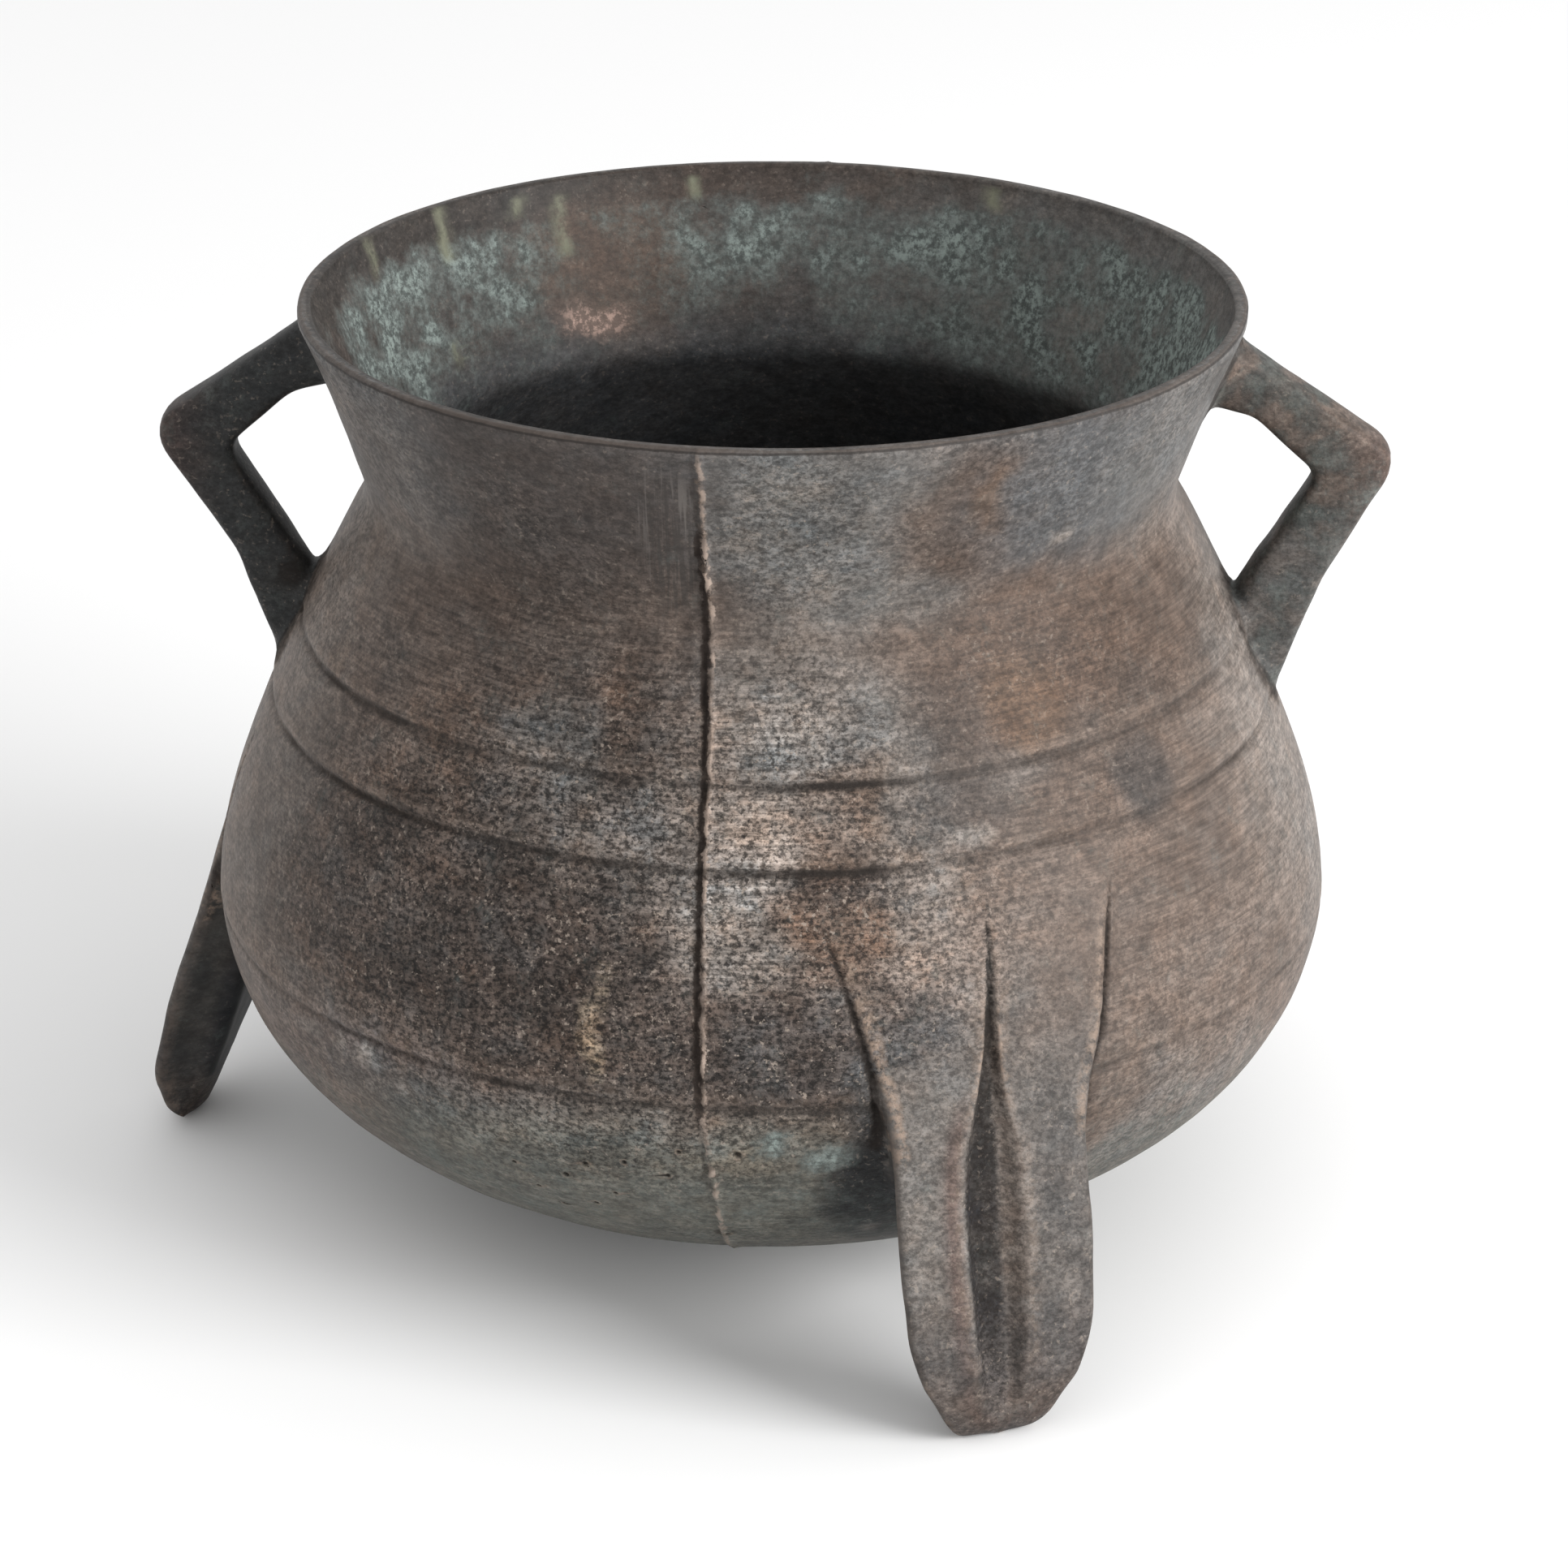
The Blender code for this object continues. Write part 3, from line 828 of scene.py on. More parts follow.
# %% The pits, and one drop of metal on the seam
# Each pit, and the ring round the drop, is darkened with dirt and painted shade.
for angle, height, radius in PITS:
    away = np.hypot(np.radians(turn_between(angles, angle)) * radii, from_line(points, height))
    hole = bump(away, radius)
    push += outer_skin * (0.25 * bump(away - radius * 1.2, radius * 0.6) - 0.7 * hole) * radius
    dirt_and_shade += outer_skin * bump(away, radius * 1.4) * 0.9
away = np.hypot(np.radians(turn_between(angles, -92.5)) * radii, from_line(points, 0.0705) * 0.6)
push += outer_skin * (0.0007 * bump(away - 0.0014, 0.0009))
dirt_and_shade += outer_skin * 0.5 * bump(away - 0.0026, 0.0010)

# %% Masks for the parts of a leg, painted later
FAR = 0.050                              # stands for "not near it at all", in metres
groove_floor, groove_side, left_arris, right_panel, leg_border = np.zeros((5, vertex_count))
behind_face = np.full(vertex_count, FAR)

# %% The groove of each leg, carried up into the belly
GROOVE_TIP = 0.1465                      # height where the groove dies out in the side of the belly
FACE_DEPTH = 0.012                       # what lies further back is the underside or a leg's back
for angle, lean in zip(LEG_ANGLES, LEG_LEANS):
    beside = beside_leg(points, angle, lean)
    facing = in_front(points, angle) & outer_skin
    from_groove = beside - follow(GROOVE_SHIFT, heights)
    share = np.abs(from_groove) / follow(GROOVE, heights)
    half = follow(HALF_WIDTH, heights)
    aside = beside + sideways_shift(np.clip(heights, 0.0, LEG_TOP), lean)
    belly_front = np.sqrt(np.clip(skin_radius(heights) ** 2 - aside**2, 0.0, None))
    panel_front = follow(RIDGE, heights) - follow(CROWN, heights) * (beside / half) ** 2
    front = np.where(np.abs(beside) < half, np.maximum(belly_front, panel_front), belly_front)
    sunk = 1.0 - smooth_step(GROOVE_FLOOR, 1.0, share)
    wanted = front - follow(GROOVE_DEPTH, heights) * sunk
    forwards = radii * np.cos(np.radians(turn_between(angles, angle)))
    on_face = facing & (forwards > front - FACE_DEPTH)
    in_groove = facing & (share < 1.0) & (heights > 0.066)
    fading = smooth_step(GROOVE_TIP, GROOVE_TIP - 0.0035, heights)
    carve += np.where(in_groove, np.minimum(wanted - forwards, 0.0), 0.0) * fading
    sideways = from_groove / follow(GROOVE, heights)
    settled = smooth_step(-1.0, -0.7, sideways) * smooth_step(0.60, 0.10, sideways)
    narrow = smooth_step(0.085, 0.105, heights)
    settled = np.maximum(settled, narrow * smooth_step(1.0, 0.6, share))
    # The floor of the groove is darkened with dirt and painted shade.
    darkened_heights = smooth_step(GROOVE_TIP, 0.138, heights) * smooth_step(0.010, 0.040, heights)
    dirt_and_shade += on_face * darkened_heights * settled * 0.70
    wear = bump(share * follow(GROOVE, heights) - follow(GROOVE, heights) - 0.0012, 0.0022)
    worn_heights = smooth_step(0.140, 0.120, heights) * smooth_step(0.012, 0.030, heights)
    wear_and_highlight += on_face * worn_heights * wear * 0.35
    below_tip = on_face * smooth_step(0.1500, 0.1420, heights)
    groove_floor += below_tip * settled * smooth_step(0.004, 0.020, heights)
    groove_side += below_tip * smooth_step(0.25, 0.5, sideways) * smooth_step(1.05, 0.9, sideways)
    left_arris += below_tip * bump(from_groove + follow(GROOVE, heights) + 0.0030, 0.0042)
    right_panel += on_face * smooth_step(1.0, 1.3, sideways) * (np.abs(beside) < half + 0.002)
    leg_border += facing * on_leg * smooth_step(0.65, 0.80, np.abs(beside) / half)
    face_edge = follow(RIDGE, heights) - follow(CROWN, heights)
    behind_face = np.where(facing & on_leg, face_edge - forwards, behind_face)
print("grooves carved up to", round(-1000 * float(carve.min()), 2), "mm into the belly")

# %% The cuts beside each leg's root
CUT_DEPTH = ((0.145, 0.0), (0.139, 0.0006), (0.124, 0.0013), (0.110, 0.0019), (0.096, 0.0023),
             (0.086, 0.0018), (0.078, 0.0))
CUT_WIDTH = ((0.145, 0.0009), (0.134, 0.0016), (0.122, 0.0025), (0.110, 0.0032), (0.096, 0.0046),
             (0.086, 0.0062))
for angle, lean in zip(LEG_ANGLES, LEG_LEANS):
    beside = beside_leg(points, angle, lean)
    facing = in_front(points, angle) & outer_skin & (heights < 0.146)
    for side, track in CUTS:
        outside_arris = beside * side - follow(track, heights)
        width = follow(CUT_WIDTH, heights) * (1.0 if side < 0 else 0.75)
        trough = smooth_step(-0.0005, 0.3 * width, outside_arris)
        trough *= 1 - smooth_step(0.3 * width, width, outside_arris)
        clear = 1.0 - on_leg * smooth_step(0.108, 0.094, heights)
        carve -= facing * clear * trough * follow(CUT_DEPTH, heights)
        carve += facing * 0.12 * follow(CUT_DEPTH, heights) * bump(outside_arris + 0.0016, 0.0016)
        # The cut is darkened with dirt and painted shade, and the arris beside it gets worn metal and a
        # painted highlight, stronger beside the left cut.
        dirt_and_shade += facing * trough * np.clip(follow(CUT_DEPTH, heights) / 0.0008, 0.0, 1.0) * 1.1
        edge_wear_and_highlight = bump(outside_arris + 0.0020, 0.0026) * smooth_step(0.142, 0.132, heights)
        wear_and_highlight += facing * (heights > 0.080) * edge_wear_and_highlight * (1.4 if side < 0 else 0.8)
points += normals * push[:, None] + outwards * carve[:, None]

# %% [markdown]
# ## A rim that isn't quite true
#
# Old castings warp as they cool and get knocked as they are used. The lip here leans half a
# millimetre and is pushed a little to one side. A smooth shift that grows towards the lip is enough,
# and at the end everything is held inside the box of the solid.

# %% Warp the rim and settle the piece in its place
towards_lip = smooth_step(0.215, HEIGHT, points[:, 2])
points[:, 0] += 0.0005 * towards_lip
points[:, 2] -= 0.0004 * towards_lip * smooth_step(-RIM_RADIUS, RIM_RADIUS, points[:, 0])
points += np.array(AXIS)
points = np.clip(points, np.array(cad_low), np.array(cad_high))
store(points)
cauldron = bpy.data.objects.new("cauldron_casting", cauldron_mesh)
bpy.context.scene.collection.objects.link(cauldron)
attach(cauldron, "root")
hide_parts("cauldron")
cauldron_mesh.materials.clear()
cauldron_mesh.shade_smooth()
casting_span = [[round(float(v), 4) for v in end] for end in (points.min(axis=0), points.max(axis=0))]
print("the casting spans", *casting_span)

# %% [markdown]
# ## Edges pale, hollows dark: wear, dirt and painted light
#
# Handling wears a casting where it sticks out, and dirt gathers where it dips. The same marks carry
# painted light as well: a painted highlight where the surface sticks out and painted shade where it
# dips. How much a surface sticks out can be measured: along an edge between two points, their
# directions spread apart over a ridge and close up over a hollow. The average over all the edges at a
# point is stored on the mesh, where the material can read it. Cycles could find it by itself, but
# then it would depend on how finely each patch happens to be divided.

# %% Measure how far each place sticks out
normals = read(cauldron_mesh.vertex_normals, "vector", 3)
along = points[ends[:, 1]] - points[ends[:, 0]]
spread = np.einsum("ij,ij->i", normals[ends[:, 1]] - normals[ends[:, 0]], along)
spread /= np.maximum(np.einsum("ij,ij->i", along, along), 1e-12)
weight = np.linalg.norm(along, axis=1) + 1e-9
total = np.bincount(ends.ravel(), weights=np.repeat(spread * weight, 2), minlength=vertex_count)
curve = total / np.bincount(ends.ravel(), weights=np.repeat(weight, 2), minlength=vertex_count)
for _ in range(2):
    curve = 0.5 * curve + 0.5 * average_of_neighbours(curve)
# Sharp ridges get worn metal and a painted highlight; hollows get dirt and painted shade, less of it on each
# groove's right wall.
wear_and_highlight += (0.55 + 0.35 * on_leg) * smooth_step(80.0, 320.0, curve)
dirt_and_shade += 0.8 * smooth_step(-50.0, -260.0, curve) * (1.0 - 0.8 * groove_side)
print("a tenth of the skin curves more sharply than", round(float(np.percentile(curve, 90))), "per metre")

# %% [markdown]
# ## Painting the patina
#
# Bronze doesn't go one even brown. Bands of ochre, umber and blue-grey lie over this belly, the deep
# inside of the pot is darkened with painted shade, and pale verdigris has settled inside the flare.
# These are washes: soft patches of a tone at a place, laid over one another like watercolour, and a
# few of them are painted light, shade beside the front leg and a reflection on the left edge. The
# points are close enough together to hold them, so they are painted straight onto the mesh, and the
# material adds what is finer.

# %% The tones of the patina, as linear red, green and blue
TONES = {
    "taupe": (0.101, 0.077, 0.0635), "brown": (0.043, 0.033, 0.028), "umber": (0.065, 0.044, 0.033),
    "ochre": (0.080, 0.048, 0.030), "grey": (0.100, 0.096, 0.091), "blue": (0.060, 0.062, 0.064),
    "pale": (0.155, 0.137, 0.123), "olive": (0.086, 0.083, 0.071), "mauve": (0.078, 0.066, 0.062),
    "iron": (0.024, 0.024, 0.023), "deep_shade": (0.038, 0.038, 0.039), "lining": (0.046, 0.038, 0.034),
    "slate": (0.034, 0.032, 0.031), "moss": (0.058, 0.061, 0.055), "rust": (0.070, 0.045, 0.038),
    "buff": (0.235, 0.185, 0.134), "night": (0.009, 0.010, 0.013),
}
# Each wash: tone, angle, height, reach in degrees, reach in metres, strength.
OUTSIDE_WASHES = (
    ("taupe", -22, 0.150, 26, 0.060, 0.80), ("taupe", -55, 0.145, 10, 0.018, 0.60),
    # The washes at -165 and -152 degrees on the next line are a painted reflection of the bright surroundings
    # along the left edge.
    ("taupe", -165, 0.150, 16, 0.060, 0.80), ("taupe", -152, 0.238, 14, 0.024, 0.50),
    ("brown", -130, 0.132, 27, 0.028, 0.85), ("brown", -108, 0.120, 13, 0.026, 0.80),
    ("brown", -128, 0.176, 26, 0.030, 0.45), ("brown", -112, 0.205, 16, 0.020, 0.45),
    ("brown", -116, 0.246, 18, 0.026, 0.70), ("grey", -112, 0.183, 7, 0.010, 0.55),
    ("brown", -104.0, 0.190, 3.2, 0.017, 0.72), ("umber", -104.0, 0.190, 2.8, 0.014, 0.40),
    ("brown", -95.6, 0.207, 1.8, 0.018, 0.80), ("mauve", -128, 0.082, 24, 0.013, 0.80),
    ("grey", -86, 0.250, 8, 0.022, 0.60), ("grey", -78, 0.247, 12, 0.024, 0.75),
    ("pale", -84, 0.192, 9, 0.026, 0.35), ("pale", -90, 0.139, 5.0, 0.013, 0.62),
    ("pale", -73, 0.156, 6, 0.022, 0.45), ("pale", -87, 0.166, 7, 0.012, 0.38),
    ("brown", -86, 0.108, 10, 0.017, 0.95), ("slate", -83, 0.112, 6, 0.012, 0.40),
    ("umber", -79.5, 0.144, 5, 0.014, 0.90), ("brown", -79.5, 0.1555, 5, 0.005, 0.70),
    ("umber", -79, 0.172, 4, 0.012, 0.65), ("umber", -62, 0.243, 8, 0.022, 0.70),
    ("blue", -44, 0.245, 15, 0.022, 0.70), ("grey", -20, 0.250, 18, 0.026, 0.60),
    ("grey", -70, 0.222, 10, 0.006, 0.60), ("umber", -48, 0.203, 17, 0.018, 0.95),
    ("umber", -30, 0.190, 12, 0.014, 0.40), ("brown", -64, 0.190, 5, 0.014, 0.65),
    ("ochre", -54.5, 0.190, 5, 0.0095, 0.95), ("umber", -50, 0.166, 8, 0.009, 0.60),
    ("slate", -66, 0.166, 6, 0.008, 0.50), ("slate", -39.5, 0.166, 3.4, 0.009, 0.90),
    ("brown", -17, 0.188, 5, 0.012, 0.60), ("brown", -35, 0.186, 4, 0.008, 0.45),
    ("blue", -73, 0.095, 5, 0.024, 0.60), ("olive", -106, 0.056, 27, 0.028, 0.90),
    # The iron washes at -75.5 and -71 degrees are painted shade beside the front leg's left root, with the
    # night wash at -76 degrees further down.
    ("olive", -84, 0.066, 12, 0.020, 0.85), ("iron", -75.5, 0.074, 4, 0.024, 0.85),
    ("iron", -71, 0.050, 7, 0.016, 0.85), ("ochre", -152, 0.182, 2.5, 0.005, 0.60),
    ("pale", -38.5, 0.071, 1.0, 0.002, 1.0), ("pale", -76, 0.045, 1.0, 0.002, 1.0),
    ("pale", -46.5, 0.233, 1.6, 0.002, 0.9), ("pale", -125, 0.082, 1.1, 0.0022, 1.0),
    ("pale", -130, 0.088, 1.1, 0.002, 0.9), ("pale", -134, 0.088, 1.0, 0.002, 0.8),
    ("pale", -140, 0.088, 1.3, 0.0025, 0.9), ("pale", -64, 0.1615, 2.4, 0.0015, 0.9),
    ("ochre", -59, 0.251, 1.6, 0.010, 0.60), ("taupe", -150, 0.062, 16, 0.030, 0.55),
    ("pale", -10, 0.150, 14, 0.050, 0.30), ("slate", -78, 0.092, 2.6, 0.010, 0.90),
    # The pale wash at -166 degrees is a painted reflection along the left edge, and the night wash at -76
    # degrees is painted shade beside the front leg's left root.
    ("pale", -166, 0.150, 18, 0.070, 0.30), ("night", -76, 0.064, 4.0, 0.018, 0.55),
    ("grey", -160, 0.246, 24, 0.030, 0.45), ("grey", -86, 0.200, 8, 0.016, 0.30),
    ("umber", -40, 0.195, 22, 0.022, 0.32), ("pale", -4, 0.150, 12, 0.060, 0.40),
    ("umber", -45, 0.140, 9, 0.030, 0.25),
)


def patch(angle, height, reach_round, reach_up, softness=0.6):
    """1 in the middle of a patch, 0 outside it, with a ragged edge."""
    across = turn_between(ragged_angles, angle) / reach_round
    up = (ragged_heights - height) / reach_up
    return 1.0 - smooth_step(1.0 - softness / 2, 1.0 + softness, np.hypot(across, up))


def lay(tone, amount):
    """Covers the paint with a tone, by an amount from 0 to 1 at each point."""
    global paint
    paint = paint + (np.array(TONES[tone]) - paint) * np.clip(amount, 0.0, 1.0)[:, None]


# %% Lay the washes
ragged_angles = angles + 2.2 * uneven(points, 0.022, 3, seed=41.0)
ragged_heights = heights + 0.0035 * uneven(points, 0.018, 3, seed=43.0)
cloud = uneven(points, 0.055, 3, seed=45.0)
streaky = uneven(points * np.array((0.35, 0.35, 1.6)), 0.030, 3, seed=47.0)
paint = np.tile(np.array(TONES["taupe"]), (vertex_count, 1))
lay("grey", 0.55 * smooth_step(0.0, 0.6, cloud))
lay("brown", 0.60 * smooth_step(0.0, 0.7, -cloud))
lay("umber", 0.35 * smooth_step(0.1, 0.7, streaky))
lay("olive", smooth_step(0.075, 0.040, ragged_heights) * 0.8)
lay("blue", 0.62 * smooth_step(0.222, 0.240, ragged_heights))
lay("grey", 0.45 * patch(-106, 0.148, 15, 0.034))
for tone, angle, height, reach_round, reach_up, strength in OUTSIDE_WASHES:
    lay(tone, patch(angle, height, reach_round, reach_up) * strength)
mottled = uneven(points, 0.011, 4, seed=49.0)
fine = uneven(points, 0.0055, 3, seed=51.0)
buff_streak = open_belly * bump(np.radians(turn_between(ragged_angles, -104.3)) * radii, 0.0034)
buff_streak *= smooth_step(0.096, 0.102, heights) * smooth_step(0.133, 0.126, heights)
lay("buff", buff_streak * np.clip(0.80 + 0.9 * fine, 0.0, 1.0))
print("washes laid:", len(OUTSIDE_WASHES))

# %% [markdown]
# ## Tones that belong to a part
#
# Other colours follow the parts of the casting instead of a place on the belly. The handles are dark,
# with green in their pits and rust on their elbows. The legs are paler and greyer than the pot, their
# grooves hold black dirt deepened with painted shade, the right wall of each groove is lifted with
# painted light, their flanks are painted in shade, and the inside has a lining of its own. The skin
# still knows which points came from which part, so each part gets a short list of washes, laid after
# the ones above.

# %% Tint the handles
right_handle = on_handle * (points[:, 0] > 0.0)
left_handle = on_handle * (points[:, 0] < 0.0)
lay("iron", on_handle * 1.0)
lay("moss", on_handle * smooth_step(-0.05, 0.45, mottled) * np.where(points[:, 0] > 0.0, 0.75, 0.15))
upper_bar = smooth_step(0.205, 0.225, heights)
lay("taupe", right_handle * smooth_step(-0.1, 0.4, -mottled) * (0.45 + 0.4 * upper_bar))
lay("rust", on_handle * smooth_step(0.158, 0.178, radii + 0.006 * mottled) * 0.70)
lay("taupe", right_handle * smooth_step(0.210, 0.228, heights) * 0.20)
lay("grey", right_handle * smooth_step(0.215, 0.200, heights) * 0.35)
lay("night", left_handle * 0.28)
print("handles tinted:", int(on_handle.sum()), "points")

# %% Tint the legs
lower_leg = on_leg * smooth_step(0.118, 0.092, heights)
lay("taupe", lower_leg * 0.9)
lay("grey", lower_leg * np.clip(0.62 + 0.2 * cloud + 0.2 * fine, 0.0, 0.9))
lay("pale", lower_leg * 0.22)
lay("slate", right_panel * smooth_step(0.130, 0.090, heights) * np.clip(0.40 + 0.5 * mottled, 0.0, 0.8))
lay("rust", left_arris * smooth_step(0.100, 0.085, heights) * 0.85)
# The iron and night on each groove's floor are dirt deepened with painted shade.
lay("iron", groove_floor * np.clip(0.80 + 0.8 * fine, 0.3, 0.95))
lay("night", groove_floor * smooth_step(0.105, 0.060, heights) * np.clip(0.60 + 0.9 * mottled, 0.0, 0.90))
# The taupe and pale on each groove's right wall are painted light, lifting a wall that the lamp leaves in
# shade.
lay("taupe", groove_side * smooth_step(0.125, 0.100, heights) * 0.85)
lay("pale", groove_side * smooth_step(0.125, 0.100, heights) * np.clip(0.35 + 0.5 * fine, 0.0, 0.8))
lay("slate", right_panel * smooth_step(0.110, 0.090, heights) * 0.30)
lay("mauve", on_leg * smooth_step(0.045, 0.024, heights) * 0.5)
lay("slate", on_leg * smooth_step(0.050, 0.020, heights) * np.clip(0.40 + 0.6 * fine, 0.0, 1.0))
lay("umber", on_leg * smooth_step(0.024, 0.006, heights) * np.clip(0.45 + 0.5 * mottled, 0.0, 0.8))
lay("night", on_leg * smooth_step(0.016, 0.003, heights) * 0.30)
print("legs tinted:", int(on_leg.sum()), "points")

# %% Painted shade on the flanks and the backs of the legs, partly over a dark patina
flanks = on_leg * smooth_step(FACE_DEPTH, 0.016, behind_face) * smooth_step(0.112, 0.104, heights)
for angle in LEG_ANGLES:
    level = np.array((-math.sin(math.radians(angle)), math.cos(math.radians(angle)), 0.0))
    turned_aside = smooth_step(0.60, 0.85, np.abs(normals @ level))
    near = np.abs(turn_between(angles, angle)) < LEG_SECTOR
    flank = leg_border * near * turned_aside * smooth_step(0.115, 0.090, heights)
    flanks = np.maximum(flanks, flank)
lay("iron", flanks * smooth_step(0.0022, 0.0034, behind_face) * np.clip(0.72 + 0.2 * fine, 0.0, 0.95))
lay("night", flanks * smooth_step(0.011, 0.016, behind_face) * 0.7)
lay("brown", flanks * smooth_step(0.0034, 0.0022, behind_face) * 0.4)
# Worn metal and a painted highlight along the arris between a leg's face and its flank.
wear_and_highlight += flanks * bump(behind_face - 0.0034, 0.0016) * 0.9

# %% Tint the inside
lip_band = on_inside * smooth_step(0.2600, 0.2655, ragged_heights)
lay("lining", on_inside * 1.0)
# Painted shade: the inside darkens below the neck.
lay("deep_shade", on_inside * smooth_step(0.236, 0.221, ragged_heights))
lay("brown", lip_band)
lay("umber", on_inside * patch(118, 0.247, 11, 0.018, 1.0) * 0.85)
lay("grey", on_inside * patch(25, 0.246, 45, 0.026, 1.0) * 0.85)
lay("pale", on_inside * patch(15, 0.240, 32, 0.014, 1.0) * 0.45)
lay("iron", lip_band * smooth_step(95.0, 125.0, np.abs(angles)) * 0.55)
print("inside tinted:", int(on_inside.sum()), "points")

# %% [markdown]
# ## Verdigris, dirt with painted shade, and tears
#
# Verdigris is bronze turned to a blue-green salt where damp air reached it, so it lies in clouds all
# round the flare and thinly under the belly. Cloths and brushes never got into the corners beside the
# handles, so these hold dirt, darkened further with painted shade, and something pale once ran down
# from the lip. Only where each of them lies is painted here. Its ragged edge is left to the material,
# which can draw it finer.

# %% Where verdigris grows
# Verdigris inside the flare: angle, height, reach in degrees, reach in metres, strength.
VERDIGRIS = ((161, 0.243, 13, 0.022, 1.0), (97, 0.255, 17, 0.014, 0.85), (66, 0.254, 22, 0.015, 0.85),
             (33, 0.250, 20, 0.019, 0.85), (5, 0.250, 26, 0.026, 1.20), (137, 0.247, 15, 0.015, 0.80),
             (80, 0.240, 45, 0.010, 0.50), (35, 0.238, 38, 0.015, 0.95),
             (-60, 0.250, 50, 0.018, 0.6), (-140, 0.246, 30, 0.020, 0.7))
verdigris = 0.10 * on_inside * smooth_step(0.224, 0.236, heights)
for angle, height, reach_round, reach_up, strength in VERDIGRIS:
    verdigris = np.maximum(verdigris, on_inside * strength * patch(angle, height, reach_round, reach_up, 1.3))
for angle, height, reach_round, reach_up in ((-86.5, 0.0835, 1.8, 0.005), (-81, 0.0785, 2.2, 0.006)):
    verdigris = np.maximum(verdigris, 0.95 * open_belly * patch(angle, height, reach_round, reach_up))
verdigris = np.maximum(verdigris, 0.30 * open_belly * smooth_step(0.085, 0.060, ragged_heights))
verdigris = np.maximum(verdigris, (np.where(points[:, 0] > 0.0, 0.25, 0.02) + 0.3 * mottled) * on_handle)
clumps = uneven(points, 0.014, 4, seed=57.0)
verdigris *= np.where(on_inside, np.clip(0.97 + 0.9 * clumps, 0.45, 1.25), 1.0)
verdigris *= 1.0 - 0.9 * lip_band
verdigris *= 1.0 - on_inside * 0.55 * patch(118, 0.247, 7, 0.016, 1.0)
print("verdigris on", round(100 * float((verdigris > 0.3).mean())), "percent of the points")

# %% Dirt and painted shade in the corners of the handles
joined = on_handle.astype(float)
for _ in range(6):
    joined = average_of_neighbours(joined)
dirt_and_shade += 0.9 * on_outside * smooth_step(0.02, 0.30, joined) * smooth_step(0.75, 0.55, joined)
# The pocket between the left handle and the body is darkened with dirt and painted shade.
HANDLE_POCKET = (-0.1390, -0.0090, 0.1870)         # counted from the turning axis
dirt_and_shade += 1.1 * bump(np.linalg.norm(points - np.array(AXIS) - np.array(HANDLE_POCKET), axis=1), 0.0080)

# %% Tears that ran down from the lip
tears = np.zeros(vertex_count)
for angle, top, bottom in TEARS:
    across = np.radians(turn_between(ragged_angles, angle)) * radii
    length = smooth_step(bottom - 0.001, bottom + 0.003, heights)
    length *= smooth_step(top + 0.001, top - 0.001, heights)
    tears = np.maximum(tears, on_inside * length * bump(across, 0.0042))

# %% [markdown]
# ## Where each texture shows
#
# The mould was lined with sandy clay. Its grain is still strong in front, while years of scouring
# have worn it down elsewhere and left brush marks round the pot. The textures themselves come later.
# These masks only say how strongly each one shows at a point, so one material can cover it all.

# %% Where the sandy grain shows
# It is coarse over the front and the left of the belly, and faint on the flare and the handles.
# Coarse places: angle, height, reach in degrees, reach in metres, strength.
COARSE = ((-104, 0.135, 36, 0.060, 1.0), (-84, 0.150, 12, 0.055, 0.90),
          (-84, 0.245, 10, 0.028, 0.6), (-100, 0.112, 8, 0.018, 1.5))
grain = 0.38 + 0.25 * cloud
grain -= 0.12 * patch(-25, 0.175, 34, 0.050, 0.8)
for angle, height, reach_round, reach_up, strength in COARSE:
    grain = np.maximum(grain, strength * patch(angle, height, reach_round, reach_up, 0.8))
grain = np.where(on_inside, 0.25, np.where(on_handle, 0.35, grain))
restless = smooth_step(0.30, 0.85, grain) * (1.0 - 0.8 * lower_leg)
grain += (0.45 - grain) * lower_leg
grain += 0.30 * groove_floor - 0.35 * flanks

# %% Where brush marks, comb marks and bare copper show
brushed = 0.25 + 0.30 * patch(-30, 0.160, 32, 0.060, 0.8) + 0.5 * patch(-86, 0.150, 9, 0.040, 0.8)
brushed += 0.55 * patch(-118, 0.190, 26, 0.026, 0.8) + 0.25 * patch(-125, 0.130, 30, 0.030, 0.8)
brushed *= np.where(on_handle | on_inside | on_leg, 0.0, 1.0) * smooth_step(0.236, 0.212, heights)
combed = patch(-99.5, 0.243, 3.2, 0.019, 0.6) * open_belly * 0.7
glint = patch(121, 0.230, 4.5, 0.0035, 0.8) * on_inside

# %% [markdown]
# ## Thin lines are stored as distances
#
# The crack along the seam, the dark foot of each turned line and the worn edge of the lip are
# thinner than the gaps between the mesh's points. A painted mask that thin comes out as a row of
# blobs. A distance is different: it changes evenly from point to point, so it stays exact between
# them. The mesh therefore carries how far each point lies from a line, in millimetres, and the
# material decides how wide to draw it.

# %% Fields for the lines that must stay crisp
nearest_line = np.full(vertex_count, FAR)
for line_height in TURNED_LINES:
    away = from_line(points - np.array(AXIS), line_height) + 0.0005 * uneven(points, 0.080, seed=5.0)
    nearest_line = np.where(np.abs(away) < np.abs(nearest_line), away, nearest_line)
from_front = turn_between(angles, -90.0)
lowest_line = heights < 0.110
near_line = open_belly * line_strength * bump(nearest_line, 0.012) * np.where(lowest_line, 0.65, 1.0)
near_line *= np.where(lowest_line & (np.abs(from_front) > 30.0), 0.60, 1.0)
near_line *= 1.0 - 0.45 * smooth_step(50.0, 75.0, np.abs(from_front))
near_line *= 1.0 - 0.30 * smooth_step(20.0, 35.0, from_front)

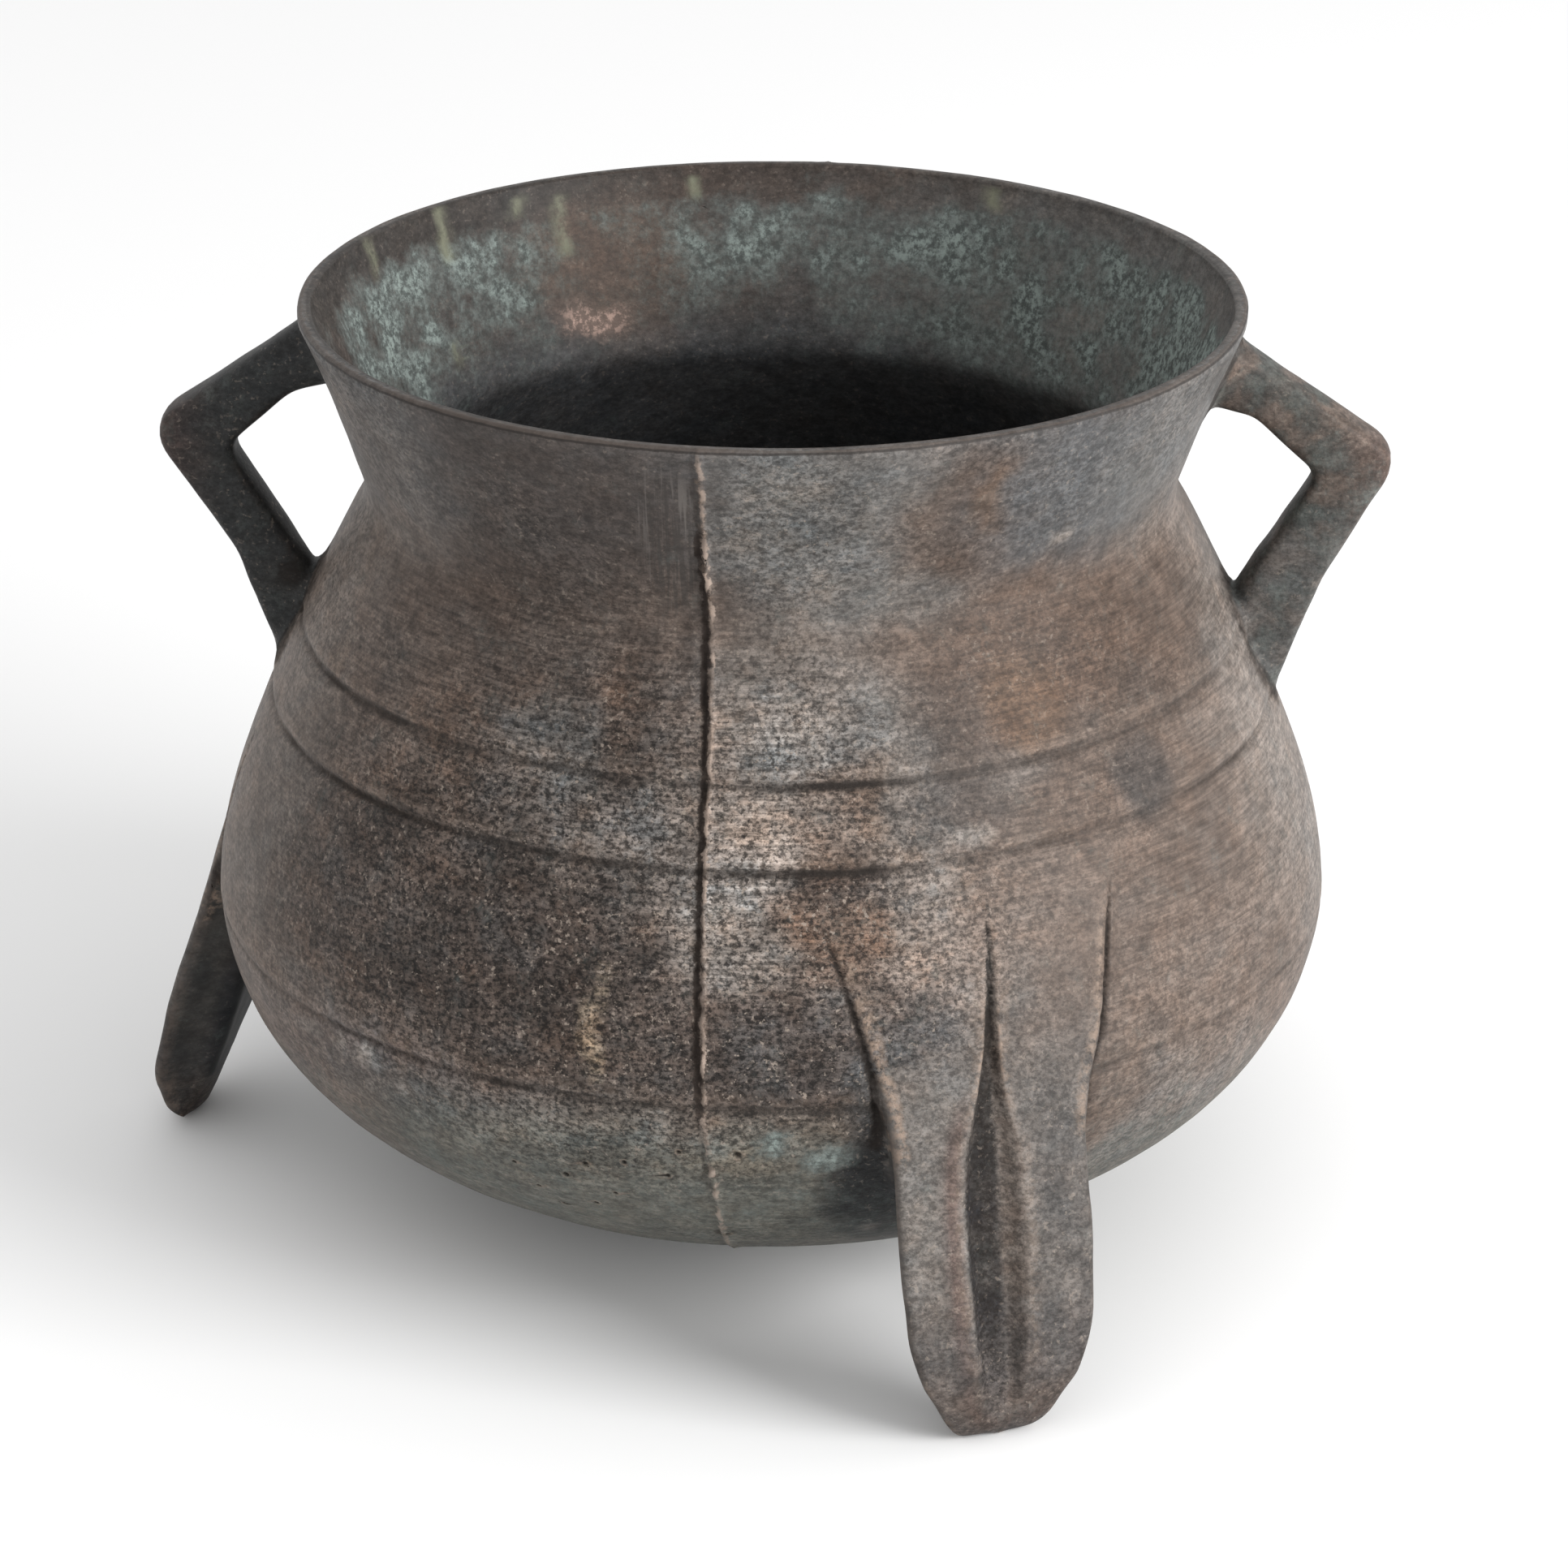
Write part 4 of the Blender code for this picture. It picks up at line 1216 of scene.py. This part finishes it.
# %% How strongly the seam shows at each height
# The dark gap is dirt and painted shade on the unlit side of the ridge; the bright edge is worn metal with a
# painted highlight on its lit side.
SEAM_DARK = ((0.272, 0.25), (0.250, 0.45), (0.243, 0.95), (0.150, 1.0), (0.095, 0.95),
             (0.088, 0.25), (0.005, 0.1))
SEAM_WEAR_AND_HIGHLIGHT = ((0.272, 0.40), (0.248, 0.75), (0.240, 1.1), (0.225, 1.1), (0.214, 0.80), (0.196, 0.65),
               (0.182, 0.75), (0.172, 1.1), (0.155, 1.0), (0.145, 0.50), (0.118, 0.45), (0.108, 0.85),
               (0.096, 0.85), (0.088, 0.60), (0.040, 0.45), (0.005, 0.2))
seam_dark = near_seam * follow(SEAM_DARK, heights)
seam_wear_and_highlight = near_seam * follow(SEAM_WEAR_AND_HIGHLIGHT, heights) * np.clip(ragged, 0.4, 1.2)


# %% Write the masks on the mesh
def keep_as(name, values):
    """Stores one number a point under a name that the material can ask for."""
    layer = cauldron_mesh.attributes.new(name, 'FLOAT', 'POINT')
    layer.data.foreach_set("value", values.astype(np.float32))


for name, values in (("wear_and_highlight", wear_and_highlight), ("dirt_and_shade", dirt_and_shade), ("verdigris", verdigris), ("tears", tears),
                     ("grain", grain), ("brushed", brushed), ("combed", combed), ("glint", glint),
                     ("seam_dark", seam_dark), ("seam_wear_and_highlight", seam_wear_and_highlight), ("near_line", near_line),
                     ("restless", restless)):
    keep_as(name, np.clip(values, 0.0, 1.4))
TO_MM = 1000.0
keep_as("across_seam", TO_MM * across_seam)
keep_as("across_line", TO_MM * nearest_line)
keep_as("below_rim", TO_MM * np.where(outer_skin, HEIGHT - heights, FAR))
layer = cauldron_mesh.color_attributes.new("paint", 'FLOAT_COLOR', 'POINT')
paint_and_alpha = np.column_stack((paint, np.ones(vertex_count)))
layer.data.foreach_set("color", paint_and_alpha.astype(np.float32).ravel())
print("masks written for", vertex_count, "points,", len(cauldron_mesh.polygons), "triangles")

# %% [markdown]
# ## The material
#
# One material covers the whole casting. It starts from the painted tone and adds what is finer than
# the points can hold: the sandy grain of the mould, brush strokes that run round the pot, flecks,
# verdigris with a ragged edge, worn metal and dirt with their painted highlights and painted shade, and
# the painted light along the seam and the turned lines. Each is a noise, stretched or squeezed to the
# shape of the mark it makes, and a mask from the mesh decides where it shows.

# %% Short names for wiring nodes
bronze = bpy.data.materials.new("bronze")
bronze.use_nodes = True
tree = bronze.node_tree
shader = tree.nodes["Principled BSDF"]
places = tree.nodes.new("ShaderNodeTexCoord").outputs["Object"]


def wire(value, socket):
    """Sets a socket to a number or colour, or connects another node's output to it."""
    if isinstance(value, bpy.types.NodeSocket):
        tree.links.new(value, socket)
    elif isinstance(value, tuple) and len(value) == 3 and socket.type == 'RGBA':
        socket.default_value = (*value, 1.0)
    else:
        socket.default_value = value


def mask(name):
    """The value that was stored on the mesh under a name."""
    found = tree.nodes.new("ShaderNodeAttribute")
    found.attribute_name = name
    return found.outputs["Fac"]


def speckle(scale, detail=2.0, roughness=0.55, stretch=(1.0, 1.0, 1.0), turn=(0.0, 0.0, 0.0)):
    """Noise of a given fineness, in lumps per metre, stretched and turned as asked."""
    mapping = tree.nodes.new("ShaderNodeMapping")
    wire(places, mapping.inputs["Vector"])
    mapping.inputs["Scale"].default_value = stretch
    mapping.inputs["Rotation"].default_value = turn
    pattern = tree.nodes.new("ShaderNodeTexNoise")
    wire(mapping.outputs["Vector"], pattern.inputs["Vector"])
    pattern.inputs["Scale"].default_value = scale
    pattern.inputs["Detail"].default_value = detail
    pattern.inputs["Roughness"].default_value = roughness
    return pattern.outputs["Fac"]


def ramp(value, low, high, start=0.0, end=1.0):
    """Eases from start to end while a value goes from low to high."""
    step = tree.nodes.new("ShaderNodeMapRange")
    step.interpolation_type = 'SMOOTHSTEP'
    wire(value, step.inputs["Value"])
    for socket, number in zip(("From Min", "From Max", "To Min", "To Max"), (low, high, start, end)):
        step.inputs[socket].default_value = number
    return step.outputs["Result"]


def maths(operation, first, second=0.0, whole=False):
    """One sum on two values; a product is held between 0 and 1 unless whole is asked for."""
    step = tree.nodes.new("ShaderNodeMath")
    step.operation = operation
    step.use_clamp = operation == 'MULTIPLY' and not whole
    wire(first, step.inputs[0])
    wire(second, step.inputs[1])
    return step.outputs["Value"]


def both(first, second):
    """Where both masks are strong: their product."""
    return maths('MULTIPLY', first, second)


def stripe(distance, middle, outer, inner):
    """A line drawn along a field of distances: 0 beyond the outer half width, 1 within the inner one."""
    return ramp(maths('ABSOLUTE', maths('SUBTRACT', distance, middle)), outer, inner)


def blend(amount, below, above, how='MIX'):
    """Lays one colour over another, by an amount."""
    step = tree.nodes.new("ShaderNodeMix")
    step.data_type = 'RGBA'
    step.blend_type = how
    wire(amount, step.inputs["Factor"])
    wire(below, step.inputs["A"])
    wire(above, step.inputs["B"])
    return step.outputs["Result"]


# %% Clouds of tone
def brighten(colour, value):
    """Multiplies a colour's brightness by a value that may be above or below 1."""
    step = tree.nodes.new("ShaderNodeHueSaturation")
    wire(colour, step.inputs["Color"])
    wire(value, step.inputs["Value"])
    return step.outputs["Color"]


base = tree.nodes.new("ShaderNodeAttribute")
base.attribute_name = "paint"
restless = ramp(mask("restless"), 0.0, 1.0, 0.40, 1.0)
colour = base.outputs["Color"]
clouds = speckle(38, 5.0, 0.65, (1.0, 1.0, 1.5))
colour = blend(restless, colour, brighten(colour, ramp(clouds, 0.32, 0.68, 0.70, 1.34)))
warmth = speckle(60, 5.0, 0.68, (1.0, 1.0, 1.3), (0.4, 0.0, 0.0))
cooler = both(ramp(warmth, 0.50, 0.66, 0.0, 0.65), restless)
warmer = both(ramp(warmth, 0.50, 0.34, 0.0, 0.65), restless)
colour = blend(cooler, colour, (0.84, 1.00, 1.12), 'MULTIPLY')
colour = blend(warmer, colour, (1.14, 0.98, 0.86), 'MULTIPLY')
smears = speckle(170, 5.0, 0.72, (1.0, 1.0, 1.7))
colour = brighten(colour, ramp(smears, 0.32, 0.68, 0.76, 1.28))

# %% Brush lines and sandy grain
lines = speckle(75, 3.0, 0.65, (1.0, 1.0, 15.0), (math.radians(-4.0), 0.0, 0.0))
colour = blend(mask("brushed"), colour, brighten(colour, ramp(lines, 0.34, 0.66, 0.62, 1.42)))
sand = speckle(560, 3.0, 0.72, (1.0, 1.0, 1.35))
colour = blend(mask("grain"), colour, brighten(colour, ramp(sand, 0.36, 0.64, 0.30, 1.95)))
clusters = both(ramp(smears, 0.44, 0.60, 0.15, 1.0), mask("grain"))
flecks = both(ramp(speckle(700, 2.0, 0.6), 0.58, 0.67), clusters)
colour = blend(both(flecks, 0.75), colour, (0.290, 0.240, 0.200))
pinholes = both(ramp(speckle(640, 2.0, 0.6), 0.40, 0.30), mask("grain"))
colour = blend(both(pinholes, 0.85), colour, (0.016, 0.013, 0.012))

# %% Comb marks beside the seam
combing = speckle(30, 2.0, 0.5, (24.0, 1.0, 1.0))
colour = blend(both(ramp(combing, 0.47, 0.38), mask("combed")), colour, (0.040, 0.035, 0.032))
colour = blend(both(ramp(combing, 0.54, 0.64), mask("combed")), colour, (0.125, 0.112, 0.103))

# %% Lay on the verdigris
crust = speckle(100, 8.0, 0.80, (1.0, 1.0, 0.8))
flour = speckle(420, 4.0, 0.75)
grown = maths('ADD', both(mask("verdigris"), 0.42), crust)
film = ramp(grown, 0.52, 0.98, 0.0, 0.92)
colour = blend(film, colour, brighten((0.108, 0.124, 0.117), ramp(flour, 0.34, 0.66, 0.55, 1.45)))
blooms = both(ramp(grown, 0.80, 1.02), ramp(flour, 0.44, 0.62))
colour = blend(both(blooms, 0.85), colour, (0.225, 0.265, 0.245))
colour = blend(both(mask("tears"), ramp(crust, 0.36, 0.55, 0.2, 0.85)), colour, (0.165, 0.168, 0.118))

# %% Draw the torn edge of the seam: the gap darkened with painted shade, and a painted highlight and halo on the ridge's lit side
def shifted(name, amount, pattern):
    """A field in millimetres, pushed back and forth by a noise."""
    swing = maths('SUBTRACT', pattern, 0.5)
    return maths('ADD', mask(name), maths('MULTIPLY', swing, amount, whole=True))


torn = shifted("across_seam", 5.0, speckle(210, 5.0, 0.75))
gap = both(stripe(torn, -1.1, 1.65, 0.85), mask("seam_dark"))
edge = both(stripe(torn, 0.2, 1.05, 0.45), mask("seam_wear_and_highlight"))
edge = both(edge, ramp(speckle(260, 3.0), 0.40, 0.54))
seam_highlight_halo = both(stripe(torn, 1.2, 1.8, 0.4), mask("seam_wear_and_highlight"))
colour = blend(both(seam_highlight_halo, 0.45), colour, brighten(colour, 1.5))
colour = blend(both(gap, 0.90), colour, (0.020, 0.013, 0.010))
colour = blend(both(edge, 0.92), colour, (0.340, 0.268, 0.222))

# %% Draw the turned lines: painted shade in the notch and a painted highlight on the ridge above
turned = shifted("across_line", 2.6, speckle(190, 5.0, 0.78, (1.0, 1.0, 2.0)))
broken = both(ramp(speckle(44, 4.0, 0.7), 0.38, 0.58, 0.35, 1.0), mask("near_line"))
shade = both(stripe(turned, 0.0, 1.95, 0.60), broken)
light = both(stripe(turned, 3.0, 1.9, 0.5), broken)
colour = blend(both(light, 0.35), colour, brighten(colour, 1.6))
colour = blend(both(shade, 0.88), colour, (0.018, 0.015, 0.013))

# %% Draw the worn edge of the lip
lip = shifted("below_rim", 0.7, speckle(120, 3.0))
colour = blend(ramp(lip, 1.1, 0.7, 0.0, 0.6), colour, (0.072, 0.056, 0.047))
colour = blend(both(stripe(lip, 1.1, 0.50, 0.15), 0.80), colour, (0.022, 0.018, 0.016))

# %% Worn metal with a painted highlight, dirt with painted shade, and the copper glint
chafed_and_highlight = both(mask("wear_and_highlight"), ramp(speckle(340, 4.0, 0.7), 0.38, 0.62))
colour = blend(both(chafed_and_highlight, 0.75), colour, (0.270, 0.200, 0.155))
colour = blend(both(mask("glint"), 0.75), colour, (0.150, 0.104, 0.085))
colour = blend(both(mask("glint"), ramp(flour, 0.46, 0.62)), colour, (0.380, 0.262, 0.215))
grime_and_shade = both(mask("dirt_and_shade"), ramp(speckle(260, 4.0, 0.7), 0.28, 0.58, 0.55, 1.0))
colour = blend(both(grime_and_shade, 0.88), colour, (0.020, 0.016, 0.014))
wire(colour, shader.inputs["Base Color"])

# %% [markdown]
# ## Gloss
#
# Old bronze has a dull sheen where it is clean and none where it is dirty or corroded. So the
# roughness follows the verdigris and the dirt with its painted shade that were just laid on, and only
# the chafed edges, which also carry a painted highlight, are a little metallic. The sandy grain and
# the brush lines also tilt the light. This is the one place where a bump is enough, because both are
# only a fraction of a millimetre deep.

# %% Gloss and the last fraction of a millimetre
dull = maths('MAXIMUM', ramp(grown, 0.52, 0.95, 0.52, 0.85), ramp(grime_and_shade, 0.10, 0.60, 0.52, 0.90))
wire(dull, shader.inputs["Roughness"])
wire(both(chafed_and_highlight, 0.3), shader.inputs["Metallic"])
shader.inputs["Specular IOR Level"].default_value = 0.16
relief = tree.nodes.new("ShaderNodeBump")
relief.inputs["Distance"].default_value = 0.0007
relief.inputs["Strength"].default_value = 0.7
sand_relief = both(sand, mask("grain"))
brush_relief = both(lines, both(mask("brushed"), 0.5))
wire(maths('ADD', sand_relief, brush_relief), relief.inputs["Height"])
wire(relief.outputs["Normal"], shader.inputs["Normal"])
cauldron_mesh.materials.append(bronze)
print("material:", len(tree.nodes), "nodes")

# %% [markdown]
# ## Ground, light and camera
#
# The pot stands on pale paper under a white sky, with one broad lamp low on the right. That keeps
# every shadow soft and shows the turned lines, which a lamp beside the camera would flatten. The
# camera has a long lens and stands well back, so the pot isn't swollen by perspective.

# %% Paper to stand on
floor_mesh = bpy.data.meshes.new("paper")
floor_mesh.from_pydata([(-4, -4, 0), (4, -4, 0), (4, 4, 0), (-4, 4, 0)], [], [(0, 1, 2, 3)])
floor = bpy.data.objects.new("paper", floor_mesh)
bpy.context.scene.collection.objects.link(floor)
paper = bpy.data.materials.new("pale_paper")
paper.use_nodes = True
paper.node_tree.nodes["Principled BSDF"].inputs["Base Color"].default_value = (0.86, 0.86, 0.86, 1.0)
paper.node_tree.nodes["Principled BSDF"].inputs["Roughness"].default_value = 0.9
paper.node_tree.nodes["Principled BSDF"].inputs["Specular IOR Level"].default_value = 0.1
floor_mesh.materials.append(paper)

# %% Sky and lamps
SKY = 0.95


def lamp(name, place, size, power):
    """A square soft box that looks at the middle of the pot."""
    data = bpy.data.lights.new(name, 'AREA')
    data.shape = 'SQUARE'
    data.size = size
    data.energy = power
    obj = bpy.data.objects.new(name, data)
    obj.location = AXIS + Vector(place)
    obj.rotation_euler = (Vector((0.0, 0.0, 0.13)) - Vector(place)).to_track_quat('-Z', 'Y').to_euler()
    bpy.context.scene.collection.objects.link(obj)


lamp("broad_lamp", (2.1, -1.1, 1.0), 1.4, 79.0)
world = bpy.data.worlds.new("white_sky")
world.use_nodes = True
world.node_tree.nodes["Background"].inputs["Color"].default_value = (1.0, 1.0, 1.0, 1.0)
world.node_tree.nodes["Background"].inputs["Strength"].default_value = SKY
bpy.context.scene.world = world
bpy.context.scene.view_settings.view_transform = 'Standard'

# %% Camera
camera_data = bpy.data.cameras.new("camera")
camera_data.sensor_width = 36.0
camera_data.lens = 121.1
camera_data.shift_x = 0.0083
camera_data.clip_end = 20.0
camera = bpy.data.objects.new("camera", camera_data)
camera.location = AXIS + Vector((0.0819, -1.4338, 0.7297))
camera.rotation_euler = (math.radians(90.0 - 22.985), 0.0, math.radians(3.27))
bpy.context.scene.collection.objects.link(camera)
bpy.context.scene.camera = camera
